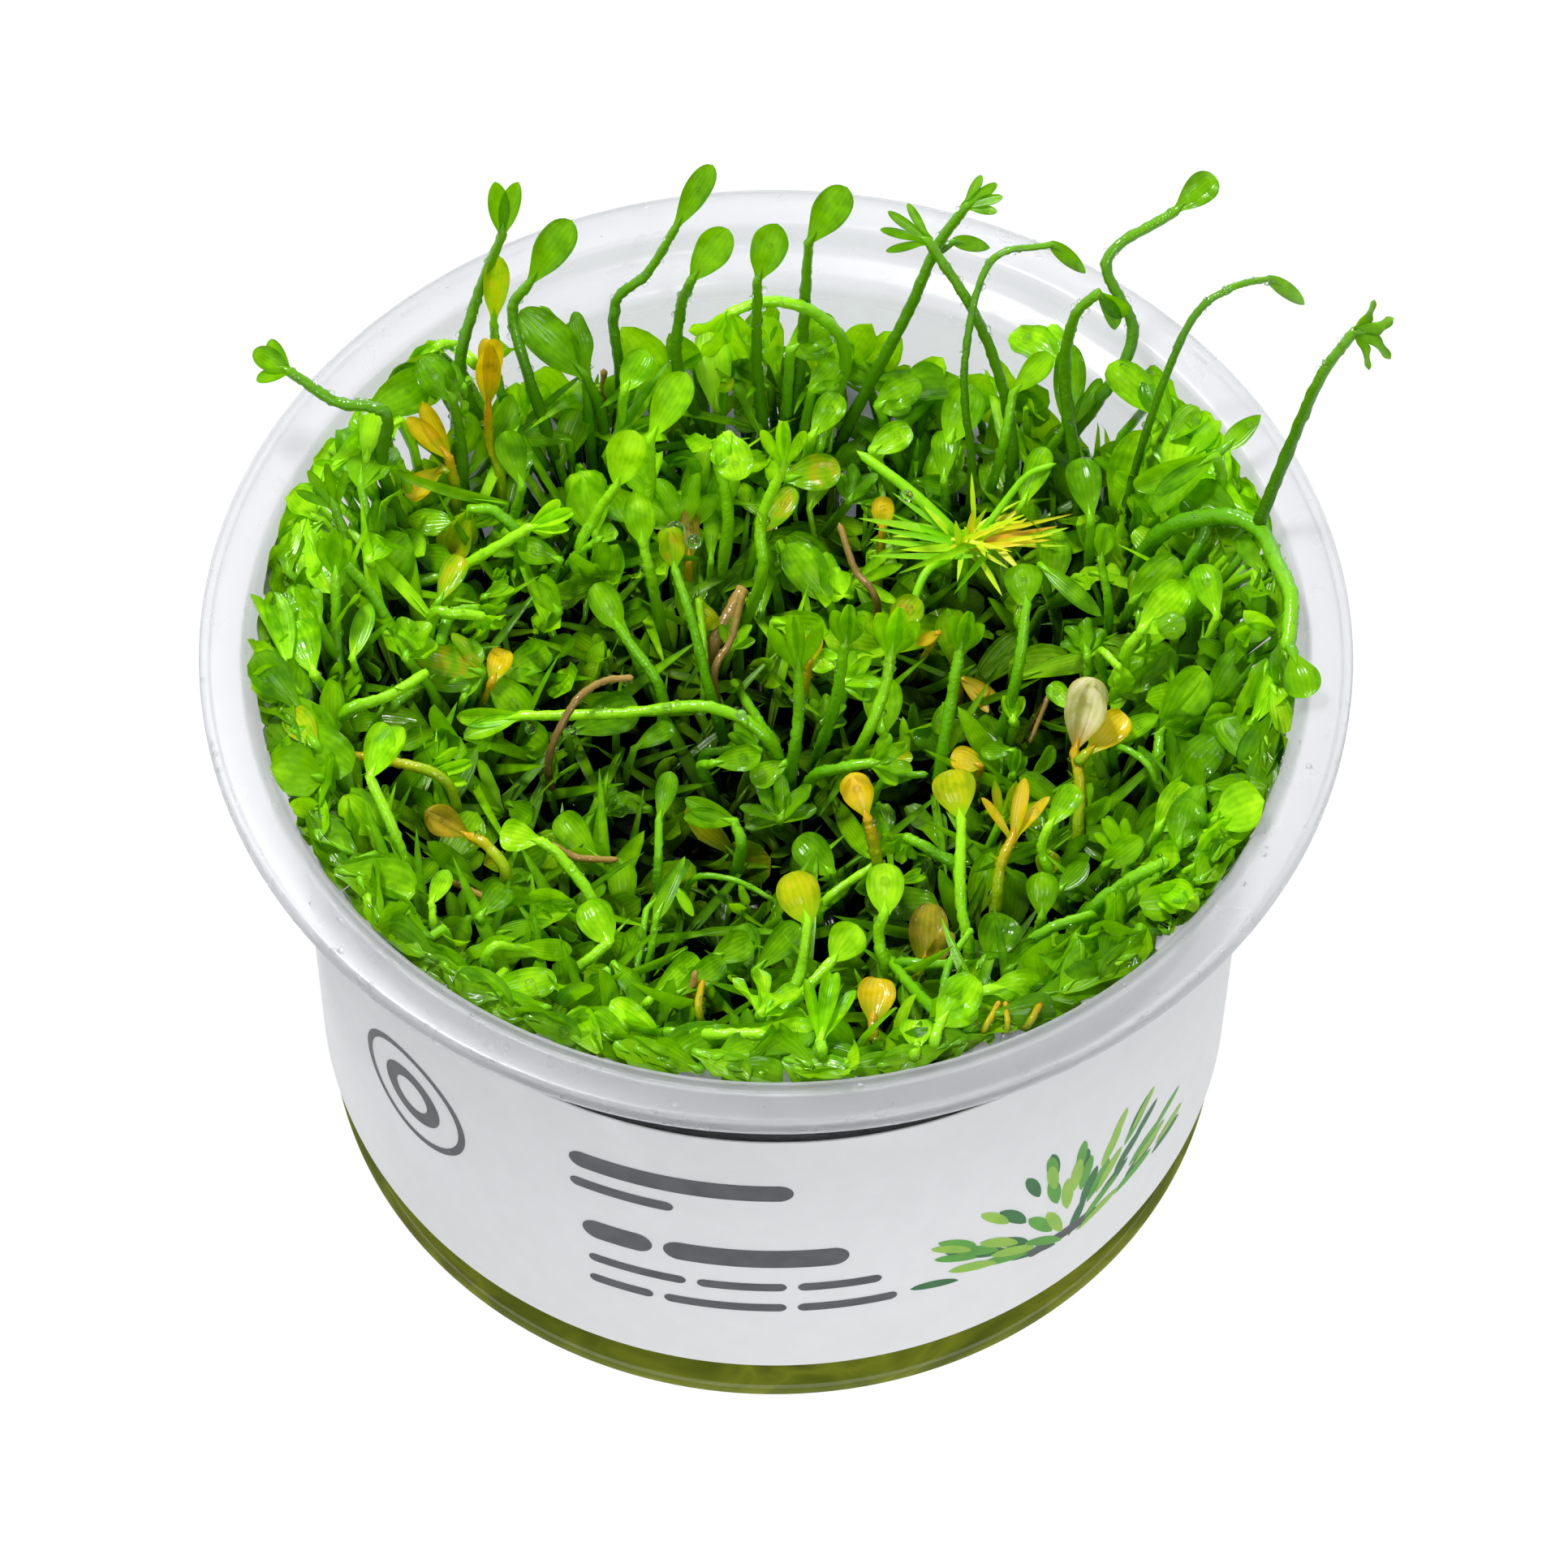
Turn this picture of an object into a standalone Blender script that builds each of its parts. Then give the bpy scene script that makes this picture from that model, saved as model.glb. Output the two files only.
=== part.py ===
"""Dwarf water clover sprouts growing on gel in a round clear cup with a blank wrap label.

Metres, +Z up, origin at the middle of the underside of the cup. The front is -Y.
Sizes and places below are in millimetres and are turned to metres by MM.
"""

import math

import bmesh
import bpy
from mathutils import Vector

MM = 0.001
GAP = 0.3

# The cup: a thin clear pot with a wide flat flange.
RIM_RADIUS = 50.0
CUP_HEIGHT = 61.0
FLANGE_DEPTH = 1.6
MOUTH_RADIUS = 45.75
SHOULDER_DROP = 3.0
WALL_TOP_RADIUS = 42.2
WALL_FOOT_RADIUS = 41.6
CORNER_RADIUS = 1.0
WALL = 0.7
ROUND_STEPS = 32

# The wrap label.
LABEL_FOOT = 7.0
LABEL_TOP = 45.8
LABEL_THICKNESS = 0.25
LABEL_SEAM = 2.0

# The gel and the mat of roots and runners on it.
GEL_TOP = 12.0
MAT_TOP = 23.0
MAT_RIPPLE = 1.6

# The plantlets stand in rings, each on a low mound of leaves.
MOUND_RADIUS = 8.0
MOUND_FOOT = 26.0
MOUND_STEPS = 10
CANOPY_MIDDLE = 43.0
CANOPY_RISE = 7.0
CANOPY_BACK_LOSS = 0.4
HOLLOWS = [(0.0, 16.0, 5.0), (5.0, -10.0, 3.0)]
HOLLOW_RADIUS = 9.0
INNER_RING = 16.6
OUTER_RING = 33.0
INNER_COUNT = 6
OUTER_COUNT = 12
ROOT_DEPTH = 9.0
STALK_RADIUS = 0.55
BLADE_THICKNESS = 0.9
LIGHT_SIDE = Vector((0.0, -0.55, 0.84))

# The yellow rosette of needle leaves, with its tips in turn round its heart.
TUFT_HEART = (17.5, 19.6, 48.6)
TUFT_STEM_RADIUS = 0.6
TUFT_TIPS = [
    (27.5, 18.5, 50.5), (26.5, 21.5, 51.0), (24.0, 24.5, 52.0), (18.5, 24.0, 53.0), (13.0, 24.0, 53.5),
    (7.5, 22.0, 53.5), (5.5, 19.5, 48.5), (9.5, 15.5, 47.0), (14.0, 11.0, 48.0), (20.0, 13.5, 47.5),
]

COLOURS = {
    "clear": (0.86, 0.89, 0.90),
    "paper": (0.88, 0.88, 0.90),
    "gel": (0.36, 0.40, 0.10),
    "mat": (0.07, 0.06, 0.02),
    "leaf": (0.25, 0.50, 0.02),
    "tuft": (0.55, 0.62, 0.03),
}

# Each long sprout: where it grows from, its leaf form, the leaf's width, and its route.
# A route runs up the stalk to the leaf's foot, and its last point is the leaf's tip.
# "mound" sprouts root in the nearest plantlet, "branch" ones start on the sprout before.
SPROUTS = [
    ("mound", "pair", 3.5, [(-26, 29, 50), (-28.5, 30, 59), (-27, 33, 65.5), (-24.5, 34, 73.5),
        (-24, 35, 79.5)]),
    ("mound", "spoon", 3.5, [(-22, 31, 54), (-24, 35, 61), (-22.5, 36, 64), (-19, 37, 71)]),
    ("mound", "claw", 4.5, [(-35, 19, 58), (-34.5, 20, 65.5), (-39, 21, 66), (-43, 22, 69),
        (-46, 23, 70.5)]),
    ("mound", "spoon", 2.5, [(-25, 31, 54), (-25.5, 32, 63.5), (-25, 32.5, 71)]),
    ("mound", "bud", 2.5, [(-25, 24, 48.5), (-26, 26, 54), (-26, 26.5, 58), (-25.5, 27, 67.5)]),
    ("mound", "broad", 4, [(-16, 32, 49), (-17.5, 32.5, 55.5), (-22.5, 33.5, 62.5)]),
    ("mound", "broad", 3.5, [(-28.5, 25.5, 52), (-29.2, 27, 59), (-31.5, 28, 63)]),
    ("mound", "spoon", 2.5, [(-14.5, 35, 50.5), (-15, 38, 58.5), (-12, 39, 62), (-9.5, 40, 67),
        (-6.5, 41, 74)]),
    ("mound", "spoon", 3.5, [(-9, 35, 52), (-9, 37, 59), (-8, 37, 63.5), (-5, 38, 69)]),
    ("mound", "spoon", 3.5, [(-2, 34, 54.5), (-2, 35, 66), (-0.5, 36, 72)]),
    ("mound", "spoon", 3.5, [(2, 36.5, 54), (2.5, 39, 66.5), (5.5, 40, 72.5)]),
    ("mound", "clover", 4, [(21, 26, 48), (20.5, 29, 56), (17.5, 32, 65), (13, 35, 72), (9, 36, 73.5)]),
    ("mound", "clover", 4.5, [(8, 34, 52), (11.5, 36, 60.5), (14, 38, 67.5), (16.5, 39, 72),
        (19.5, 40, 73)]),
    ("branch", "blade", 1.5, [(14, 38, 66.5), (15.5, 39, 67), (19.5, 40, 65)]),
    ("mound", "blade", 1.5, [(17.5, 25, 51), (16.5, 28.5, 62), (18.5, 34, 70), (24, 35.5, 71),
        (28, 35, 67)]),
    ("mound", "clover", 3.5, [(27, 24, 50.5), (25.5, 28, 61), (26, 29.5, 68), (28, 30, 71),
        (30.5, 29.5, 67.5)]),
    ("mound", "spoon", 3, [(28.5, 28.5, 57), (31.5, 31.5, 63.5), (29, 35, 69.5), (35, 39, 71.5),
        (38.5, 41, 74)]),
    ("mound", "blade", 1.5, [(32.5, 23, 59), (36, 27, 70.5), (39.5, 29, 73), (43, 31, 72), (48, 32, 66.5)]),
    ("mound", "pair", 5, [(36, 12, 54), (39, 17, 60), (38.5, 18, 63.5), (32, 16.5, 58.5)]),
    ("branch", "blade", 2, [(38, 18, 62.5), (39.5, 19, 63.5), (42.5, 21, 65.5)]),
    ("mound", "pair", 3.5, [(-29, 22, 51), (-29.5, 23, 55.5), (-32.5, 24.5, 60.5)]),
    ("branch", "spoon", 2.5, [(-29.5, 22.5, 54), (-30, 22.5, 54.5), (-33.5, 20.5, 53)]),
    ("mound", "bud", 3.5, [(-23, 17, 49.5), (-25, 19, 52.5), (-27.5, 19.5, 52.5), (-29.5, 17.5, 48)]),
    ("mound", "bud", 3.5, [(-35, 13, 47.5), (-29, 14, 50.5), (-22, 16, 54.5), (-18, 17, 55.5)]),
    ("mound", "fan", 4, [(-32, 5, 49), (-35.5, 8.5, 52), (-37.5, 11, 55.5), (-39, 14, 60),
        (-40.5, 15.5, 64)]),
    ("mound", "fan", 4.5, [(-37.5, -3, 49), (-38.5, 2, 55), (-38.5, 6, 60.5), (-38.5, 9, 63.5)]),
    ("mound", "spoon", 3.5, [(-12, 20, 46), (-11.5, 23, 52.5), (-11.5, 24, 57), (-8.5, 26, 63.5)]),
    ("mound", "broad", 3.5, [(-4.5, 21, 48), (-5.5, 24, 55), (-4.5, 23.5, 58.5), (-3.5, 19.5, 57.5)]),
    ("mound", "bud", 3, [(-1.5, 15, 48), (-1.5, 18, 53), (0.5, 20, 58.5), (0.5, 21.5, 64.5)]),
    ("mound", "spoon", 4, [(-17.5, 18, 46.5), (-16.5, 20, 50.5), (-14.5, 21, 54), (-13, 22, 60)]),
    ("mound", "disc", 3, [(-11, 14, 47.5), (-12, 16, 52.5), (-12.5, 17.5, 57)]),
    ("mound", "bud", 2.5, [(-5.5, 3, 45.5), (-7.5, 7, 53), (-9, 10, 56.5), (-9.5, 12, 60)]),
    ("mound", "clover", 4, [(14.5, -5, 46), (15.5, -1, 54), (16, 1, 57), (17, 3, 61)]),
    ("mound", "pair", 4.5, [(7.5, -3, 48), (9.5, 0, 52.5), (10, 2, 55), (11, 4, 60.5)]),
    ("mound", "disc", 4, [(5, 0, 49), (6, 2, 56.5), (6.5, 4, 60.5)]),
    ("mound", "pair", 3.5, [(1.5, -4, 46.5), (2, -2, 51.5), (2, 0, 55.5), (1.5, 2, 62.5)]),
    ("mound", "bud", 3.5, [(0, -3, 47.5), (-5.5, -1, 51), (-14, -1, 50), (-22.5, -1, 49.5), (-28, -2, 49)]),
    ("mound", "pair", 5, [(-30.5, -22, 49.5), (-32, -20, 57), (-34.5, -16, 61.5), (-32.5, -12, 64)]),
    ("mound", "claw", 2.5, [(-28, -11, 52), (-33, -9.5, 54.5), (-38, -8.5, 54), (-40, -9.5, 56.5)]),
    ("mound", "bud", 3, [(-23, -21, 53.5), (-24.5, -19, 55.5), (-26, -18, 55.5), (-30, -16, 56.5)]),
    ("mound", "spoon", 3, [(-15, -24, 52), (-18, -20, 55), (-20, -19, 56.5), (-23.5, -18.5, 57)]),
    ("mound", "disc", 3, [(-31.5, -22, 49.5), (-33, -20.5, 53), (-34.5, -18, 56), (-36.5, -17.5, 60)]),
    ("mound", "disc", 3.5, [(-21.5, -31, 49), (-17, -29, 51.5), (-14, -27, 53), (-16, -24, 55)]),
    ("mound", "broad", 5, [(-7.5, -35, 51), (-9.5, -36, 51), (-17, -36, 53)]),
    ("mound", "spoon", 3, [(-25.5, -30, 47.5), (-24.5, -30.5, 49.5), (-18, -32, 51)]),
    ("mound", "blade", 1.5, [(-25, -27, 51), (-23.5, -26.5, 53.5), (-18.5, -25.5, 54)]),
    ("mound", "spoon", 4, [(1.5, -31, 49), (2.5, -28, 51), (3, -25, 53.5), (1.5, -22, 56.5)]),
    ("mound", "disc", 3.5, [(10, -28, 49.5), (9, -26, 53), (9.5, -25, 55), (9.5, -22, 58)]),
    ("mound", "disc", 3.5, [(8.5, -37, 52), (8.5, -37, 54), (8.5, -35.5, 54.5), (9, -32, 56)]),
    ("mound", "bud", 3, [(9, -18, 50), (8.5, -17, 54), (8, -16, 56), (6.5, -13, 58.5)]),
    ("mound", "spoon", 4, [(17, -27, 49.5), (16, -23, 54), (16, -17, 57.5), (15, -14, 60.5)]),
    ("mound", "claw", 3, [(19, -22, 49), (19.5, -19, 53.5), (20.5, -17, 54.5), (21.5, -13, 58)]),
    ("mound", "spoon", 3.5, [(26.5, -14, 48), (26.5, -10, 52.5), (26, -8, 54), (27.5, -3, 59)]),
    ("branch", "spoon", 3, [(26, -8.5, 53.5), (27, -8, 54.5), (30.5, -5, 56.5)]),
    ("mound", "bud", 2, [(34, -18, 46), (35.5, -18, 49), (36, -16, 53)]),
    ("mound", "broad", 3.5, [(12.5, -28, 48.5), (13, -27, 50), (13.5, -23.5, 54)]),
    ("mound", "disc", 4, [(17, -29, 50), (18.5, -27, 51.5), (20, -24, 53.5)]),
    ("mound", "disc", 3.5, [(36, -8, 49), (38.2, -8, 54.5), (38.4, -7, 58.5)]),
    ("mound", "broad", 4, [(-9.5, -36.5, 52), (-6, -38, 56.5), (-1, -38, 56.5), (5, -38.5, 55.5)]),
    ("mound", "broad", 3, [(14, -36, 52), (14.5, -35, 57), (18.5, -34, 57.5), (23, -33, 57.5)]),
    ("mound", "broad", 3.5, [(21, -28, 52), (23, -27.5, 56), (27, -26, 56.5), (30.5, -26, 53)]),
    ("mound", "disc", 3, [(28, -23, 53), (31, -22, 55), (34, -20, 56), (36, -17, 58.5)]),
    ("mound", "spoon", 3, [(22.5, -24.5, 50), (23, -24, 53), (23, -21.5, 56)]),
    ("mound", "spoon", 2.5, [(24, -19, 51), (23, -18, 54.5), (23.5, -17, 56.5), (26, -14, 58.5)]),
    ("mound", "broad", 3.5, [(32.5, -8, 50.5), (33.5, -6, 52.5), (37, -1, 58)]),
    ("mound", "broad", 3, [(36, -3, 50), (37.8, -3.5, 55), (40.2, -1, 60)]),
    ("mound", "broad", 3.5, [(30.5, 2, 54), (32, 3, 58), (36, 7, 59.5)]),
    ("mound", "spoon", 3.5, [(21, 2, 50), (22, 7, 56), (21.5, 9, 59)]),
    ("mound", "bud", 2, [(29.5, 9, 51), (28.5, 11, 57.5), (29, 12.5, 60.5)]),
    ("mound", "disc", 3, [(-10, 4, 44), (-14, 8, 50.5), (-16, 10, 54)]),
    ("mound", "clover", 4, [(-30, 3, 50), (-29, 7, 53), (-26.5, 8.5, 52.5), (-25, 7.5, 49.5)]),
    ("mound", "broad", 3.5, [(-34, -1, 49), (-31, 2, 50.5), (-26, 4, 53)]),
    ("mound", "spoon", 2.5, [(-6.5, -3.5, 44.5), (-5.5, -4.5, 47.5), (-1.5, -5, 49.5)]),
    ("mound", "clover", 3, [(3, -5, 45.5), (5.5, -6, 49), (8.5, -6, 50), (12, -6, 51)]),
    ("mound", "pair", 3.5, [(-3, -13, 45.5), (-3.5, -11, 48), (-8, -11, 50)]),
    ("mound", "spoon", 2, [(-10, -18, 47), (-10, -17, 50.5), (-10, -14, 52.5), (-9, -11, 55.5)]),
    ("mound", "blade", 1.5, [(-11, -27, 47.5), (-10, -24, 52.5), (-7.5, -19, 55)]),
    ("mound", "spoon", 3.5, [(-1, -35, 51), (2, -33, 53.5), (5, -30, 55), (7, -28.5, 58)]),
    ("mound", "spoon", 3, [(-27.5, -25.5, 51), (-26, -24.5, 52.5), (-23, -22.5, 52)]),
    ("mound", "broad", 4.5, [(-29, -25, 51), (-28.8, -26.4, 54), (-26.4, -28.4, 54)]),
    ("mound", "none", 1.6, [(33.5, 15, 55), (38.5, 13.5, 60.5), (42, 11.5, 61.5), (43.5, 6.5, 63),
        (44.5, 2, 64), (44, -3, 63)]),
    ("branch", "spoon", 3.5, [(44, -1.5, 63), (44.5, -3.5, 63.5), (45.5, -7.5, 63)]),
    ("branch", "clover", 3, [(42, 11.5, 61.5), (44.5, 14, 70.5), (46.5, 15, 78.5), (49, 16, 83.5),
        (53, 17, 81)]),
    ("mound", "none", 1.1, [(-16, 34.5, 47), (-16, 36, 52)]),
    ("mound", "none", 1.0, [(9, 14, 46), (7, 16.5, 48), (5.5, 19.5, 51)]),
    ("mound", "none", 1.0, [(-20, -5, 47), (-18, -2, 52), (-15.5, 0.5, 52.5), (-12.5, 1.5, 52)]),
    ("mound", "none", 1.1, [(-31, -17, 50), (-28.5, -19.5, 51.5), (-23.5, -23.5, 53.5)]),
    ("mound", "none", 1.0, [(-7, -33, 50), (-6.5, -31, 55)]),
    ("mound", "none", 1.0, [(-5.5, 5, 46), (-4, 8, 49), (-3, 11, 52)]),
]

# Whole leaves: the half-width at steps along the length, as shares of the full half-width and length.
WHOLE_LEAVES = {
    "spoon": [(0.35, 0.55), (0.75, 1.0)],
    "disc": [(0.3, 0.9), (0.7, 1.0)],
    "broad": [(0.3, 0.85), (0.7, 1.0)],
    "blade": [(0.5, 1.0)],
    "bud": [(0.45, 1.0)],
    "none": [],
}
# Parted leaves: each leaflet's turn from the leaf's middle in degrees, and its share of the length.
PARTED_LEAVES = {
    "pair": [(-16, 1.0), (16, 1.0)],
    "claw": [(-34, 0.85), (0, 1.0), (32, 0.9)],
    "clover": [(-42, 0.8), (-14, 1.0), (14, 1.0), (42, 0.8)],
    "fan": [(-48, 0.85), (-16, 1.0), (16, 1.0), (48, 0.85)],
}
NOTCH = 0.62


def clear_scene():
    for thing in list(bpy.data.objects):
        bpy.data.objects.remove(thing, do_unlink=True)


def make_material(name, colour, roughness):
    material = bpy.data.materials.new(name)
    material.use_nodes = True
    shader = material.node_tree.nodes["Principled BSDF"]
    shader.inputs["Base Color"].default_value = (*colour, 1.0)
    shader.inputs["Roughness"].default_value = roughness
    shader.inputs["Metallic"].default_value = 0.0
    material.diffuse_color = (*colour, 1.0)
    return material


def add_object(name, mesh, material=None):
    made = bpy.data.objects.new(name, mesh)
    bpy.context.scene.collection.objects.link(made)
    if material:
        mesh.materials.append(material)
    return made


def mesh_from(name, points, faces):
    """A mesh from points in millimetres."""
    mesh = bpy.data.meshes.new(name)
    mesh.from_pydata([(x * MM, y * MM, z * MM) for x, y, z in points], [], faces)
    mesh.update()
    return mesh


def turn_outline(name, outline, material, steps=ROUND_STEPS, ripple=None):
    """Turns a closed outline of (radius, height) points about Z.

    An outline that starts and ends on the axis closes there. The others close on themselves.
    """
    on_axis = outline[0][0] == 0.0 and outline[-1][0] == 0.0
    ring_points = outline[1:-1] if on_axis else outline
    points, faces = [], []
    for step in range(steps):
        angle = 2 * math.pi * step / steps
        for radius, height in ring_points:
            lift = ripple(radius, angle, height) if ripple else 0.0
            points.append((radius * math.cos(angle), radius * math.sin(angle), height + lift))
    count = len(ring_points)
    spans = count - 1 if on_axis else count
    for step in range(steps):
        here, there = step * count, ((step + 1) % steps) * count
        for i in range(spans):
            j = (i + 1) % count
            faces.append((here + i, there + i, there + j, here + j))
    if on_axis:
        points += [(0.0, 0.0, outline[0][1]), (0.0, 0.0, outline[-1][1])]
        start, end = len(points) - 2, len(points) - 1
        for step in range(steps):
            here, there = step * count, ((step + 1) % steps) * count
            faces.append((start, there, here))
            faces.append((end, here + count - 1, there + count - 1))
    mesh = mesh_from(name, points, faces)
    turn_faces_out(mesh)
    mesh.shade_smooth()
    mesh.set_sharp_from_angle(angle=math.radians(35))
    return add_object(name, mesh, material)


def turn_faces_out(mesh):
    work = bmesh.new()
    work.from_mesh(mesh)
    bmesh.ops.recalc_face_normals(work, faces=work.faces)
    work.to_mesh(mesh)
    work.free()


def wall_radius(height):
    """The outer radius of the cup's wall at a height above its foot."""
    share = height / (CUP_HEIGHT - SHOULDER_DROP)
    return WALL_FOOT_RADIUS + (WALL_TOP_RADIUS - WALL_FOOT_RADIUS) * share


def corner(radius, height, bend, steps, inward=0.0):
    """A quarter round from the flat base out and up to the wall."""
    size = bend - inward
    return [
        (radius - bend + size * math.sin(turn), height + bend - size * math.cos(turn))
        for turn in (0.5 * math.pi * i / steps for i in range(steps + 1))
    ]


def make_cup(material):
    shoulder = CUP_HEIGHT - SHOULDER_DROP
    flange_under = CUP_HEIGHT - 0.8
    outer = [(0.0, 0.0)] + corner(wall_radius(0), 0.0, CORNER_RADIUS, 3)
    outer += [
        (WALL_TOP_RADIUS, shoulder - 0.8),
        (MOUTH_RADIUS - 0.2, shoulder),
        (MOUTH_RADIUS + 0.6, flange_under),
        (RIM_RADIUS - 0.8, flange_under),
        (RIM_RADIUS - 0.8, CUP_HEIGHT - FLANGE_DEPTH),
        (RIM_RADIUS, CUP_HEIGHT - FLANGE_DEPTH),
        (RIM_RADIUS, CUP_HEIGHT - 0.4),
        (RIM_RADIUS - 0.6, CUP_HEIGHT),
    ]
    inner = [
        (MOUTH_RADIUS, CUP_HEIGHT),
        (MOUTH_RADIUS - 0.8, shoulder + WALL),
        (WALL_TOP_RADIUS - WALL, shoulder + WALL - 0.8),
    ]
    inner += corner(wall_radius(0), 0.0, CORNER_RADIUS, 3, inward=WALL)[::-1]
    inner += [(0.0, WALL)]
    return turn_outline("cup", outer + inner, material)


def make_label(material):
    """A band round the wall, open at its seam behind."""
    inner = [(wall_radius(z) + GAP, z) for z in (LABEL_FOOT, LABEL_TOP)]
    half_seam = LABEL_SEAM / 2 / WALL_TOP_RADIUS
    points, faces = [], []
    for step in range(ROUND_STEPS + 1):
        share = step / ROUND_STEPS
        angle = math.pi / 2 + half_seam + share * (2 * math.pi - 2 * half_seam)
        for radius, height in inner:
            for out in (0.0, LABEL_THICKNESS):
                points.append(((radius + out) * math.cos(angle), (radius + out) * math.sin(angle), height))
    for step in range(ROUND_STEPS):
        a, b = step * 4, step * 4 + 4
        for i, j in ((0, 1), (1, 3), (3, 2), (2, 0)):
            faces.append((a + i, a + j, b + j, b + i))
    last = ROUND_STEPS * 4
    faces += [(0, 1, 3, 2), (last, last + 1, last + 3, last + 2)]
    mesh = mesh_from("label", points, faces)
    turn_faces_out(mesh)
    return add_object("label", mesh, material)


def make_gel(material):
    radius = wall_radius(0) - WALL - GAP
    foot = WALL + GAP
    outline = [(0.0, foot)] + corner(radius, foot, CORNER_RADIUS - WALL, 2)
    outline += [(radius, GEL_TOP), (0.0, GEL_TOP)]
    return turn_outline("gel", outline, material, steps=24)


def mat_ripple(radius, angle, height):
    if height < GEL_TOP + 2:
        return 0.0
    wave = math.sin(3 * angle + 0.35 * radius) + math.sin(5 * angle - 0.2 * radius)
    return MAT_RIPPLE * 0.5 * wave * min(1.0, radius / 20)


def make_root_mat(material):
    radius = wall_radius(GEL_TOP) - WALL - GAP
    foot = GEL_TOP + GAP
    outline = [(0.0, foot), (radius, foot), (radius, MAT_TOP - 2), (0.75 * radius, MAT_TOP)]
    outline += [(0.4 * radius, MAT_TOP), (0.0, MAT_TOP)]
    return turn_outline("root_mat", outline, material, steps=20, ripple=mat_ripple)


def facing(along):
    """The direction square to a leaf's length that looks most to the light."""
    return (LIGHT_SIDE - along * LIGHT_SIDE.dot(along)).normalized()


def add_sprout(shells, route, radius, form, width):
    """A four-sided stalk from the first point, that widens to a whole leaf on its last stretch."""
    is_leafy = bool(WHOLE_LEAVES[form])
    top = len(route) - 2 if is_leafy else len(route) - 1
    leaf_along = (route[-1] - route[-2]).normalized()
    face = facing(leaf_along)
    side = leaf_along.cross(face)
    rings = []
    for i in range(top, -1, -1):
        along = (route[min(i + 1, len(route) - 1)] - route[max(i - 1, 0)]).normalized()
        side = (side - along * side.dot(along)).normalized()
        size = radius * (1.0 - 0.25 * i / max(1, top))
        rings.insert(0, (route[i], side, along.cross(side), size, size))
    if is_leafy:
        side = leaf_along.cross(face)
        thick = 0.5 * (0.6 * width if form == "bud" else BLADE_THICKNESS)
        for share, half in WHOLE_LEAVES[form]:
            centre = route[-2].lerp(route[-1], share)
            rings.append((centre, side, leaf_along.cross(side), half * width / 2, thick))
    points, faces = [], []
    for centre, across, up, wide, thick in rings:
        for a, b in ((1, 0), (0, 1), (-1, 0), (0, -1)):
            points.append(centre + across * a * wide + up * b * thick)
    for i in range(len(rings) - 1):
        for k in range(4):
            a, b = i * 4 + k, i * 4 + (k + 1) % 4
            faces.append((a, b, b + 4, a + 4))
    faces.append((3, 2, 1, 0))
    end = len(points) - 4
    if is_leafy:
        points.append(route[-1])
        faces += [(end + k, end + (k + 1) % 4, end + 4) for k in range(4)]
    else:
        faces.append((end, end + 1, end + 2, end + 3))
    shells.append((points, faces))


def add_star(shells, heart, rim, lift):
    """A star-shaped leaf: a closed rim round a heart, with a middle point above and one below."""
    count = len(rim)
    points = [*rim, heart + lift, heart - lift]
    faces = []
    for i in range(count):
        j = (i + 1) % count
        faces.append((i, j, count + 1))
        faces.append((j, i, count))
    shells.append((points, faces))


def add_parted_leaf(shells, form, foot, tip, width):
    """Leaflets spread like a hand from the top of a stalk."""
    along = tip - foot
    face = facing(along.normalized())
    side = along.normalized().cross(face)
    leaflets = PARTED_LEAVES[form]
    spread = max(abs(turn) for turn, _ in leaflets)
    flare = width / 2 / (along.length * math.sin(math.radians(spread)))
    heel = foot - along.normalized()
    rim = [heel + side * 0.5 * STALK_RADIUS, heel - side * 0.5 * STALK_RADIUS]
    for i, (turn, share) in enumerate(leaflets):
        angle = math.radians(turn)
        reach = along * math.cos(angle) + side * along.length * math.sin(angle) * flare
        if i:
            middle = math.radians((turn + leaflets[i - 1][0]) / 2)
            notch = along * math.cos(middle) + side * along.length * math.sin(middle) * flare
            rim.append(foot + notch * NOTCH)
        rim.append(foot + reach * share)
    add_star(shells, foot + along * 0.3, rim, face * BLADE_THICKNESS / 2)


def plantlet_places():
    places = [("plantlet_middle", 0.0, 0.0)]
    for ring, count, radius in (("inner", INNER_COUNT, INNER_RING), ("outer", OUTER_COUNT, OUTER_RING)):
        for i in range(count):
            angle = 2 * math.pi * i / count
            name = f"plantlet_{ring}_{i + 1:02d}"
            places.append((name, radius * math.cos(angle), radius * math.sin(angle)))
    return places


def mound_top(x, y):
    """How high the leaves stand: high at the front and sides, lower behind and in the hollows."""
    reach = math.hypot(x, y) / OUTER_RING
    rise = CANOPY_RISE * (1.0 - CANOPY_BACK_LOSS * max(0.0, y / OUTER_RING))
    height = CANOPY_MIDDLE + rise * reach * reach
    for hollow_x, hollow_y, depth in HOLLOWS:
        away = math.hypot(x - hollow_x, y - hollow_y)
        height -= depth * math.exp(-((away / HOLLOW_RADIUS) ** 2))
    return height


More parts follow.
